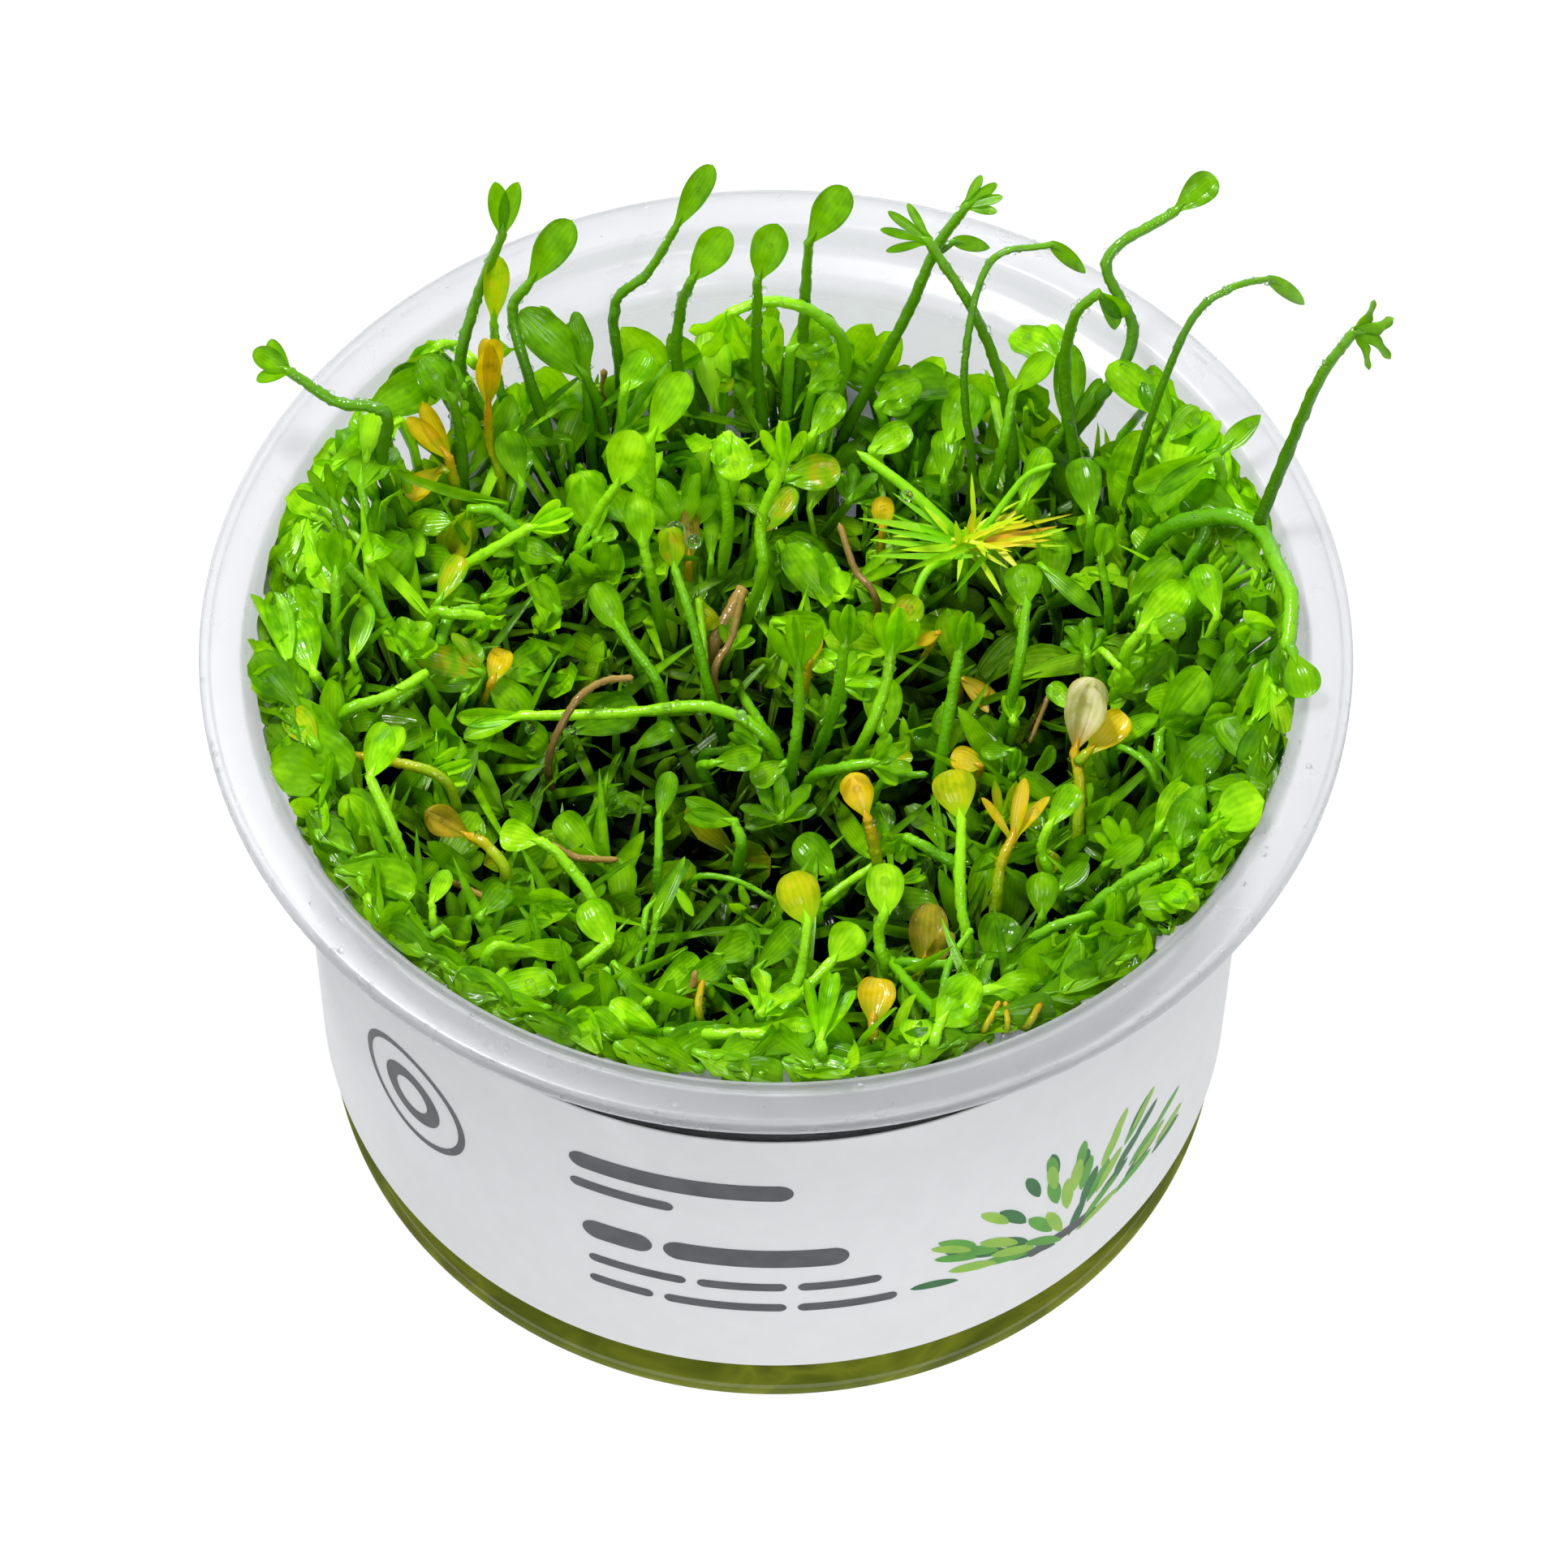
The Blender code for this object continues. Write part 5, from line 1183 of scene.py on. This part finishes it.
def addCrowdLayer(gathers, clearings, drops, layer, draw):
    reach = canopy["reach"]
    low, high = layer["length"]
    slim, wide = layer["wide"]
    thinnest, thickest = layer["stalk"]
    count, spread, wobble, bend = (crowdStem[key] for key in ("points", "rootSpread", "kneeSpread", "kneeAt"))
    for x, y in crowdSpots(layer, draw):
        chances = draw.random(14)
        form = pick(layer["forms"], chances[1])
        tint = pick(layer["tints"], chances[2])
        # painted light: at the back these leaves take the next lighter tint, where light comes through the
        # wall
        if y > canopy["backFrom"] and chances[12] > 1 - canopy["litShare"]:
            tint = {"dark": "green", "green": "lime"}.get(tint, tint)
        length = low + (high - low) * chances[3]
        width = length * (slim + (wide - slim) * chances[4])
        if form == "lance" and slim > 0.4:
            width *= 0.5           # a lance among wide leaves stays slim
        outward = np.array((x, y, 0.0)) / max(math.hypot(x, y), 1.0)
        heading = chances[5] * 2 * math.pi
        aim = np.array((math.cos(heading), math.sin(heading), layer["upright"] * (0.3 + chances[6])))
        inward = layer.get("inward", canopy["inward"])
        aim = unit(aim - inward * outward * (math.hypot(x, y) / reach) ** 3)
        if "along" in layer:
            way = 1 if chances[9] > 0.5 else -1
            aim = unit(aim + layer["along"] * way * np.array((-outward[1], outward[0], 0)))
        if "feet" in layer:
            innermost, outermost = layer["feet"]
            lowest, highest = ledge["foot"]
            thins, ends = ledge["behind"]
            foot = outward * (innermost + (outermost - innermost) * chances[0])
            foot[2] = lowest + (highest - lowest) * chances[13]
            if y > thins + (ends - thins) * chances[11]:
                continue
        else:
            top = canopyHeight(x, y) + layer["above"] - layer["below"] * chances[0] ** 1.5
            foot = np.array((x, y, top)) - aim * length * 0.6
        tip = foot + aim * length
        keepInside(foot)
        keepInside(tip)
        face = unit(lightSide - layer.get("faceIn", -0.2) * outward + (chances[7:10] - 0.5) * 1.1)
        if "yields" in layer and clearings.hidden((foot, 0.5 * (foot + tip), tip), width * layer["yields"]):
            continue
        root = np.array((x + spread * (chances[9] - 0.5), y + spread * (chances[10] - 0.5), matHigh - 2))
        keepInside(root)
        aside = np.array((chances[4] - 0.5, chances[8] - 0.5, 0)) * wobble
        knee = (1 - bend) * root + bend * foot + aside - aim * 2
        keepInside(knee)
        home = nearest(x, y)
        thin = thinnest + (thickest - thinnest) * chances[11]
        stem = pressInside(smoothRoute([root, knee, foot], count), "stem")
        path, radii = intoLeaf(stem, tip, thin * np.linspace(*crowdStem["taper"], count))
        addTube(gathers[home], path, radii, stalkSlots[tintOfStalk[tint]], chances[8], 6)
        spot = addLeaf(gathers[home], form, foot, tip, width, leafSlots[tint], chances[12], face,
                       crowdStem["fine"], thin * 0.8)
        if layer.get("dewy"):
            addLeafDew(drops, spot, width, draw)


def makePlantlets():
    draw = np.random.default_rng(7)
    gathers = [Gather() for _ in plantletNames]
    clearings = Clearings()
    drops = []
    addDrawnSprouts(gathers, clearings, drops, draw)
    for layer in crowd:
        addCrowdLayer(gathers, clearings, drops, layer, draw)
    materials = [leafMaterial(name, tints) for name, tints in leafTints.items()]
    materials += [stalkMaterial(name, stops) for name, stops in stalkTints.items()]
    total = 0
    for name, gather in zip(plantletNames, gathers):
        for points in gather.points:
            pressInside(points, "leaf")
        piece = gather.toObject("leafy_" + name, materials)
        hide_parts(name)
        total += 2 * len(piece.data.polygons)
    print("plantlets made, triangles", total, "drops", len(drops))
    return drops


# The needle tuft: thin leaves of another plant in fans, green on one side and golden on the other
tuft = {
    "heart": (17.0, 19.8, 48.0),
    # each fan's direction, spread, number of needles, their length and width, and how golden they are
    "fans": [
        ((-1.0, 0.05, 0.05), 0.26, 14, (5, 11.5), 0.8, 0.05),
        ((1.0, 0.2, 0.2), 0.3, 22, (4.5, 10), 0.58, 0.62),
        ((0.35, -0.7, 0.15), 0.4, 10, (3, 5.5), 0.6, 0.35),
        ((0.1, 0.5, 0.9), 0.4, 7, (3.5, 5), 0.7, 0.5),
    ],
    "sweep": (-25, 35),    # degrees that a needle bends
    "goldSpread": 0.18,
    "footSpread": 0.9,     # how far from the heart needles start
    # each stem's radius and route
    "stems": [
        (0.5, [(17, 19.6, 36), (16.8, 19, 42), (17, 19.8, 48)]),
        (0.55, [(16.5, 20, 48), (12, 23, 51), (7, 26.5, 52.5)]),
        (0.34, [(18, 20, 48), (20.5, 22.5, 50.5), (22.5, 24, 52.5), (25, 24.5, 53.5)]),
        (0.4, [(16, 18.5, 47.5), (13.5, 16.5, 48), (12.2, 13.5, 46.5), (12, 11, 44)]),
    ],
}


def needleMaterial():
    # thin needle leaves: yellow to orange the more golden a needle is, fresh green the less, with a fine
    # grain
    material, tree, output = newMaterial("needleLeaf")
    tone = addNode(tree, "ShaderNodeAttribute", attribute_name="tone")
    place = addNode(tree, "ShaderNodeTexCoord")
    part = addNode(tree, "ShaderNodeSeparateColor", {"Color": tone.outputs["Color"]})
    grain = addNode(tree, "ShaderNodeTexNoise", {"Vector": place.outputs["Object"], "Scale": perMm(0.8)})
    share = addNode(tree, "ShaderNodeMath", {0: part.outputs["Blue"], 1: -1.0, 2: 0.8},
                    operation="MULTIPLY_ADD")
    mixed = addNode(tree, "ShaderNodeMath", {0: grain.outputs["Fac"], 1: 0.4, 2: share.outputs[0]},
                    operation="MULTIPLY_ADD")
    ramp = addNode(tree, "ShaderNodeValToRGB", {"Fac": mixed.outputs[0]})
    fillRamp(ramp, [(0.0, "#f0b414"), (0.2, "#f0dc1c"), (0.5, "#ccf018"), (0.95, "#8cdc0c")])
    skin = addNode(tree, "ShaderNodeBsdfPrincipled", {
        "Base Color": ramp.outputs["Color"], "Roughness": 0.4, "Specular IOR Level": 0.3,
    })
    letThrough(tree, output, skin, ramp.outputs["Color"], 0.35)
    return material


def makeTuft():
    draw = np.random.default_rng(3)
    gather = Gather()
    heart = np.array(tuft["heart"])
    for radius, route in tuft["stems"]:
        path = smoothRoute(route, 14)
        addTube(gather, path, radius * np.linspace(1.1, 0.8, 14), 0, 0.1, 8)
    for toward, spread, count, lengths, width, gold in tuft["fans"]:
        for _ in range(count):
            aim = unit(unit(np.array(toward)) + draw.normal(0, spread, 3) * (1, 1, 0.6))
            length = draw.uniform(*lengths)
            face = unit(lightSide + draw.normal(0, 0.3, 3))
            face = unit(face - aim * np.dot(face, aim))
            sweep = draw.uniform(*tuft["sweep"])
            chance = np.clip(gold + draw.normal(0, tuft["goldSpread"]), 0, 1)
            foot = heart + draw.normal(0, tuft["footSpread"], 3) * (1, 0.8, 0.5)
            addBlade(gather, foot, aim, face, length, width * draw.uniform(0.7, 1.2), "grass", 0, chance,
                     wrap=70, bend=sweep, thick=0.15, rows=12, columns=3)
    made = gather.toObject("needleTuft", [needleMaterial()])
    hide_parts("needle_tuft")
    print("tuft made")


# Gel: the nutrient agar that the roots stand in, olive with darker clouds and brown bruises
gel = {
    "radius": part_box("gel")[1].x / mm,
    "steps": 128,
    "corner": 0.5,
    "cloudSize": 14,
    "stops": [(0.2, "#6a6e1c"), (0.42, "#868e1e"), (0.6, "#9aa428"), (0.78, "#84703a")],
}


def gelMaterial():
    # agar: wet, dense and a little see-through, with brown clouds where roots decay
    material, tree, output = newMaterial("oliveAgar")
    place = addNode(tree, "ShaderNodeTexCoord")
    cloud = addNode(tree, "ShaderNodeTexNoise", {
        "Vector": place.outputs["Object"], "Scale": perMm(gel["cloudSize"]), "Detail": 4.0,
        "Distortion": 0.8,
    })
    ramp = addNode(tree, "ShaderNodeValToRGB", {"Fac": cloud.outputs["Fac"]})
    fillRamp(ramp, gel["stops"])
    wet = addNode(tree, "ShaderNodeBump", {
        "Height": cloud.outputs["Fac"], "Strength": 0.3, "Distance": 0.3 * mm,
    })
    skin = addNode(tree, "ShaderNodeBsdfPrincipled", {
        "Base Color": ramp.outputs["Color"], "Roughness": 0.3, "Specular IOR Level": 0.15,
        "Normal": wet.outputs["Normal"],
    })
    letThrough(tree, output, skin, ramp.outputs["Color"], 0.3)
    return material


def makeGel():
    radius, corner = gel["radius"], gel["corner"]
    profile = [(0.02, gelLow, 0), (radius, gelLow, corner), (radius, gelHigh, corner), (0.02, gelHigh, 0)]
    made = turnedObject("agarGel", roundCorners(profile), gelMaterial(), gel["steps"])
    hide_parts("gel")
    print("gel made")


# Root mat: a dark felt of roots and runners on the gel, with loose strands on top
rootMat = {
    "radius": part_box("root_mat")[1].x / mm,
    "rings": 40,
    "steps": 120,
    "level": 1.8,          # the felt lies this much below the mat's highest point
    "strands": 420,
    "strandRadius": 0.22,
    "spread": 38.0,        # how far out strands start
    "span": 24.0,          # how far they run
    "loft": 9.0,           # how high they rise
}


def rootMaterial():
    # wet dark roots: almost black in the depth, brown and olive where they catch light
    material, tree, output = newMaterial("rootFelt")
    place = addNode(tree, "ShaderNodeTexCoord")
    grain = addNode(tree, "ShaderNodeTexNoise", {
        "Vector": place.outputs["Object"], "Scale": perMm(1.6), "Detail": 4.0,
    })
    ramp = addNode(tree, "ShaderNodeValToRGB", {"Fac": grain.outputs["Fac"]})
    fillRamp(ramp, [(0.3, "#0c0a04"), (0.5, "#231a0b"), (0.64, "#3a2c12"), (0.8, "#2c3c0c")])
    relief = addNode(tree, "ShaderNodeBump", {
        "Height": grain.outputs["Fac"], "Strength": 0.8, "Distance": 0.5 * mm,
    })
    skin = addNode(tree, "ShaderNodeBsdfPrincipled", {
        "Base Color": ramp.outputs["Color"], "Roughness": 0.5, "Normal": relief.outputs["Normal"],
    })
    tree.links.new(skin.outputs["BSDF"], output.inputs["Surface"])
    return material


def makeRootMat():
    draw = np.random.default_rng(11)
    gather = Gather()
    rings, steps, radius = rootMat["rings"], rootMat["steps"], rootMat["radius"]
    angle = np.linspace(0, 2 * math.pi, steps, endpoint=False)[None, :]
    away = np.concatenate([np.linspace(0.1, radius, rings), [radius, radius * 0.5, 0.1]])[:, None]
    x, y = away * np.cos(angle), away * np.sin(angle)
    # slow and quick waves of the felt, and below them its edge and its flat underside
    level = matHigh - rootMat["level"] + 0.8 * np.sin(x * 0.31 + 1) * np.sin(y * 0.27)
    level = level + 0.7 * np.sin(x * 0.9 + y * 0.7)
    level[rings - 1:] = matLow + 2
    level[rings:] = matLow
    gather.addPlain(np.stack([x, y, np.broadcast_to(level, x.shape)], axis=-1), closed=True)
    for _ in range(rootMat["strands"]):
        chances = draw.random(8)
        angle, away = chances[0] * 2 * math.pi, rootMat["spread"] * math.sqrt(chances[1])
        start = np.array((away * math.cos(angle), away * math.sin(angle), matHigh - 2))
        reach = np.array((chances[2] - 0.5, chances[3] - 0.5, 0)) * rootMat["span"]
        middle = start + 0.5 * reach + np.array((0, 0, rootMat["loft"] * chances[4]))
        end = start + reach + np.array((0, 0, 0.5 * rootMat["loft"] * chances[5]))
        route = [start, middle, end]
        for point in route:
            keepInside(point)
        addTube(gather, smoothRoute(route, 9), rootMat["strandRadius"] * (0.6 + chances[6]), 0, chances[7], 5)
    made = gather.toObject("rootFelt", [rootMaterial()])
    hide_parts("root_mat")
    print("root mat made")


# Label: satin paper around the wall, open at the back, with plain shapes in place of its print
label = {
    "slope": 0.6 / 57,     # the wall widens upward
    "seam": 2.0,           # open strip at the back
    "thickness": 0.25,
    "steps": 240,
    "printLift": 0.03,
    "through": 0.3,        # share of light that comes through the paper
}
# Print bars: arc from the front, height, length and thickness
printBars = [
    (-18, 37.5, 20, 2.6), (-18, 33.6, 9.5, 1.5), (-17, 26.2, 6.5, 3.0), (-9.5, 26.2, 16.5, 3.0),
    (-16.5, 21.2, 9, 1.3), (-6.5, 21.2, 8, 1.3), (2.5, 21.2, 7.5, 1.3),
    (-16.5, 17.6, 6, 1.3), (-9.5, 17.6, 11, 1.3), (2.5, 17.6, 9, 1.3), (24.5, 15.6, 8, 1.5),
]
# Printed spray of pointed leaves, in rings around its foot: start, count, leaf length and width
printSpray = {
    "arc": 29, "height": 14, "spread": 82,
    "rings": [(1.5, 6, 5.5, 1.9), (5, 10, 5.5, 2.2), (8.5, 14, 5.2, 2.2), (12, 19, 4.8, 1.9)],
}
# Printed double ring: its place, and each ring's radius and line
printRing = {"arc": -36, "height": 30, "rings": [(6.4, 0.8), (2.88, 1.6)]}
printInks = {"greyInk": ["#5a5d61", "#484b50"], "deepLeafInk": ["#2c7a3c", "#1f6a34"],
             "leafInk": ["#4fa02c", "#63b432"], "paleLeafInk": ["#8cc43c", "#a4d044"]}


def labelPlace(along, height, lift):
    # a point on the label from its arc and height in millimetres
    radius = labelRadius - (labelHigh - height) * label["slope"] + lift
    angle = along / labelRadius - math.pi / 2
    return np.stack([radius * np.cos(angle), radius * np.sin(angle), height + 0 * angle], axis=-1)


def paperMaterial(name, stops, gloss):
    # printed polypropylene paper: smooth and satin, with a faint fibre
    material, tree, output = newMaterial(name)
    place = addNode(tree, "ShaderNodeTexCoord")
    fibre = addNode(tree, "ShaderNodeTexNoise", {
        "Vector": place.outputs["Object"], "Scale": perMm(2.5), "Detail": 4.0,
    })
    ramp = addNode(tree, "ShaderNodeValToRGB", {"Fac": fibre.outputs["Fac"]})
    fillRamp(ramp, [(0.3, stops[0]), (0.7, stops[1])])
    relief = addNode(tree, "ShaderNodeBump", {
        "Height": fibre.outputs["Fac"], "Strength": 0.1, "Distance": 0.05 * mm,
    })
    paper = addNode(tree, "ShaderNodeBsdfPrincipled", {
        "Base Color": ramp.outputs["Color"], "Roughness": gloss, "Normal": relief.outputs["Normal"],
    })
    letThrough(tree, output, paper, ramp.outputs["Color"], label["through"])
    return material


def makeLabel():
    gather = Gather()
    half = math.pi * labelRadius - label["seam"] / 2
    along = np.linspace(-half, half, label["steps"])
    thin = label["thickness"]
    rows = [(labelLow, 0), (labelHigh, 0), (labelHigh, -thin), (labelLow, -thin), (labelLow, 0)]
    gather.addPlain(np.stack([labelPlace(along, height + 0 * along, lift) for height, lift in rows]))
    lift = label["printLift"]
    for start, height, length, tall in printBars:
        place = length * (0.5 - 0.5 * np.cos(np.linspace(0, math.pi, 40)))
        addPrintStrip(gather, start + place, height + 0 * place, barHalf(place, length, tall / 2), lift, 1)
    for ring, (away, count, length, width) in enumerate(printSpray["rings"]):
        for i in range(count):
            shade = (i * 7 + ring) % 3
            lean = printSpray["spread"] * (2 * (i + 0.5) / count - 1) + 9 * math.sin(i * 5.1 + ring)
            addPrintLeaf(gather, away + math.sin(i * 3.7), math.radians(lean), length, width,
                         lift + 0.01 * shade, 2 + shade)
    turn = np.linspace(0, 2 * math.pi, 49)
    for radius, width in printRing["rings"]:
        edges = (radius - width / 2, radius + width / 2)
        gather.addPlain(np.stack([labelPlace(printRing["arc"] + edge * np.cos(turn),
                                             printRing["height"] + edge * np.sin(turn), lift)
                                  for edge in edges]), 1)
    materials = [paperMaterial("satinLabel", ["#f2f3f5", "#f5f6f8"], 0.35)]
    materials += [paperMaterial(name, stops, 0.4) for name, stops in printInks.items()]
    made = gather.toObject("wrapLabel", materials)
    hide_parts("label")
    print("label made")


def barHalf(place, length, half):
    # half the height of a bar with round ends
    near = np.clip(np.minimum(place, length - place), 0, half)
    return np.sqrt(np.maximum(half ** 2 - (half - near) ** 2, 1e-4))


def addPrintStrip(gather, along, height, half, lift, slot):
    below, above = (labelPlace(along, height + side * half, lift) for side in (-1, 1))
    gather.addPlain(np.stack([below, above]), slot)


def addPrintLeaf(gather, away, lean, length, width, lift, slot):
    # one leaf of the printed spray, bent a little as it grows
    s = np.linspace(0, 1, 12)
    slope = lean * (0.85 + 0.3 * s)
    step = np.diff(s, prepend=0)[:, None] * length * np.stack([np.sin(slope), np.cos(slope)], 1)
    middle = np.cumsum(step, 0) + away * np.array((math.sin(lean), math.cos(lean)))
    half = np.maximum(s ** 0.7 * (1 - s) ** 0.6 * 1.55 * width / 2, 0.02)
    along, height = printSpray["arc"] + middle[:, 0], printSpray["height"] + middle[:, 1]
    left = labelPlace(along - half * np.cos(slope), height + half * np.sin(slope), lift)
    right = labelPlace(along + half * np.cos(slope), height - half * np.sin(slope), lift)
    gather.addPlain(np.stack([left, right]), slot)


# Cup profile: radius, height and corner rounding, from under the base out, over the rim and back inside
cup = {
    "steps": 180,
    "profile": [
        (0.02, 0, 0), (41.6, 0, 0.9), (42.2, 57.2, 1.6), (45.5, 58.0, 0.9), (46.3, 60.2, 0.5),
        (49.2, 60.2, 0.3), (49.2, 59.4, 0.1), (50.0, 59.4, 0.2), (50.0, 61.0, 0.5),
        (45.8, 61.0, 0.5), (44.9, 58.7, 0.8), (41.5, 57.9, 1.2), (40.9, 0.7, 0.5), (0.02, 0.7, 0),
    ],
}


def roundCorners(profile, steps=4):
    # a profile with each corner turned into a small bend
    points = []
    for i, (x, y, bend) in enumerate(profile):
        here = np.array((x, y))
        if not bend:
            points.append(here)
            continue
        before, after = (np.array(profile[j][:2]) for j in (i - 1, i + 1))
        start, end = here + bend * unit(before - here), here + bend * unit(after - here)
        for s in np.linspace(0, 1, steps + 1):
            points.append((1 - s) ** 2 * start + 2 * s * (1 - s) * here + s ** 2 * end)
    return points


def turnedObject(name, outline, material, steps):
    # an outline of (radius, height) points turned about the upright axis
    ring = np.array(outline, float)
    angle = np.linspace(0, 2 * math.pi, steps, endpoint=False)
    points = np.empty((len(ring), steps, 3))
    points[..., 0] = ring[:, 0:1] * np.cos(angle)
    points[..., 1] = ring[:, 0:1] * np.sin(angle)
    points[..., 2] = ring[:, 1:2]
    gather = Gather()
    gather.addPlain(points, closed=True)
    return gather.toObject(name, [material])


def makeCup(material):
    made = turnedObject("clearCup", roundCorners(cup["profile"]), material, cup["steps"])
    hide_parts("cup")
    print("cup made")


# Beads: drops of condensation that hang in the cup and on its rim
beads = {
    # the large ones as the photo shows them: x, y, z and radius
    "named": [(34.5, 3, 58.5, 1.3), (-3, -2, 51.4, 0.5), (-9.5, -1, 50.9, 0.55), (-6.5, -1, 50.8, 0.6),
              (-21.6, -1.8, 48.6, 0.5), (-18, -1.9, 48.5, 0.55), (-9, 14, 56.9, 0.9),
              (-7.4, 13.2, 56.4, 0.7), (11.5, 20, 54.4, 0.6), (-0.5, 20, 56.2, 0.35)],
    "rim": 60,
    "rimSize": (0.12, 0.34),
    "rimTurns": (205, -25, 240),   # most sit on the left, right and front of the flange
    "rimSpread": 0.35,
}


def beadMaterial(name, straightShare):
    # water: clear and smooth, so it shows as a dark edge and a glint
    material, tree, output = newMaterial(name)
    place = addNode(tree, "ShaderNodeTexCoord")
    swell = addNode(tree, "ShaderNodeTexNoise", {"Vector": place.outputs["Object"], "Scale": perMm(1.5)})
    relief = addNode(tree, "ShaderNodeBump", {
        "Height": swell.outputs["Fac"], "Strength": 0.1, "Distance": 0.1 * mm,
    })
    water = addNode(tree, "ShaderNodeBsdfPrincipled", {
        "Base Color": (1, 1, 1, 1), "Roughness": 0.02, "IOR": 1.33, "Transmission Weight": 1.0,
        "Normal": relief.outputs["Normal"],
    })
    straight = addNode(tree, "ShaderNodeBsdfTransparent", {"Color": (1, 1, 1, 1)})
    both = addNode(tree, "ShaderNodeMixShader", {
        0: straightShare, 1: water.outputs[0], 2: straight.outputs[0],
    })
    tree.links.new(both.outputs[0], output.inputs["Surface"])
    return material


def addBead(gather, centre, radius, axis=(0, 0, 1), squash=0.85, rings=6, steps=10, slot=1):
    # a round drop, flattened along its axis
    axis = np.asarray(axis, float)
    side = unit(np.cross(axis, np.eye(3)[np.abs(axis).argmin()]))
    turn = np.linspace(0, 2 * math.pi, steps, endpoint=False)[None, :, None]
    rise = np.linspace(-0.499 * math.pi, 0.499 * math.pi, rings)[:, None, None]
    points = (np.cos(rise) * (np.cos(turn) * side + np.sin(turn) * np.cross(axis, side))
              + np.sin(rise) * squash * axis)
    gather.addPlain(np.asarray(centre) + radius * points, slot, closed=True)


def makeBeads(drops):
    draw = np.random.default_rng(5)
    gather = Gather()
    for x, y, z, radius in beads["named"]:
        addBead(gather, (x, y, z), radius, squash=0.9, rings=12, steps=18, slot=0)
    for point, radius, axis, squash in drops:
        addBead(gather, point, radius, axis, squash)
    low, high = beads["rimSize"]
    for _ in range(beads["rim"]):
        angle = math.radians(draw.choice(beads["rimTurns"])) + draw.normal(0, beads["rimSpread"])
        away = rimRadius - 0.3 if draw.random() < 0.5 else draw.uniform(rimRadius - 4.0, rimRadius - 0.6)
        size = low + (high - low) * draw.random() ** 2
        centre = (away * math.cos(angle), away * math.sin(angle), cupHeight + 0.1 * size)
        addBead(gather, centre, size, squash=0.7)
    made = gather.toObject("beads", [beadMaterial("clearWater", 0.1), beadMaterial("thinWater", 0.4)])
    print("beads made")


makeCamera()
makeStudio()
print("camera, light and floor made")
makeCup(clearPlasticMaterial())
makeLabel()
makeGel()
makeRootMat()
drops = makePlantlets()
makeTuft()
makeBeads(drops)
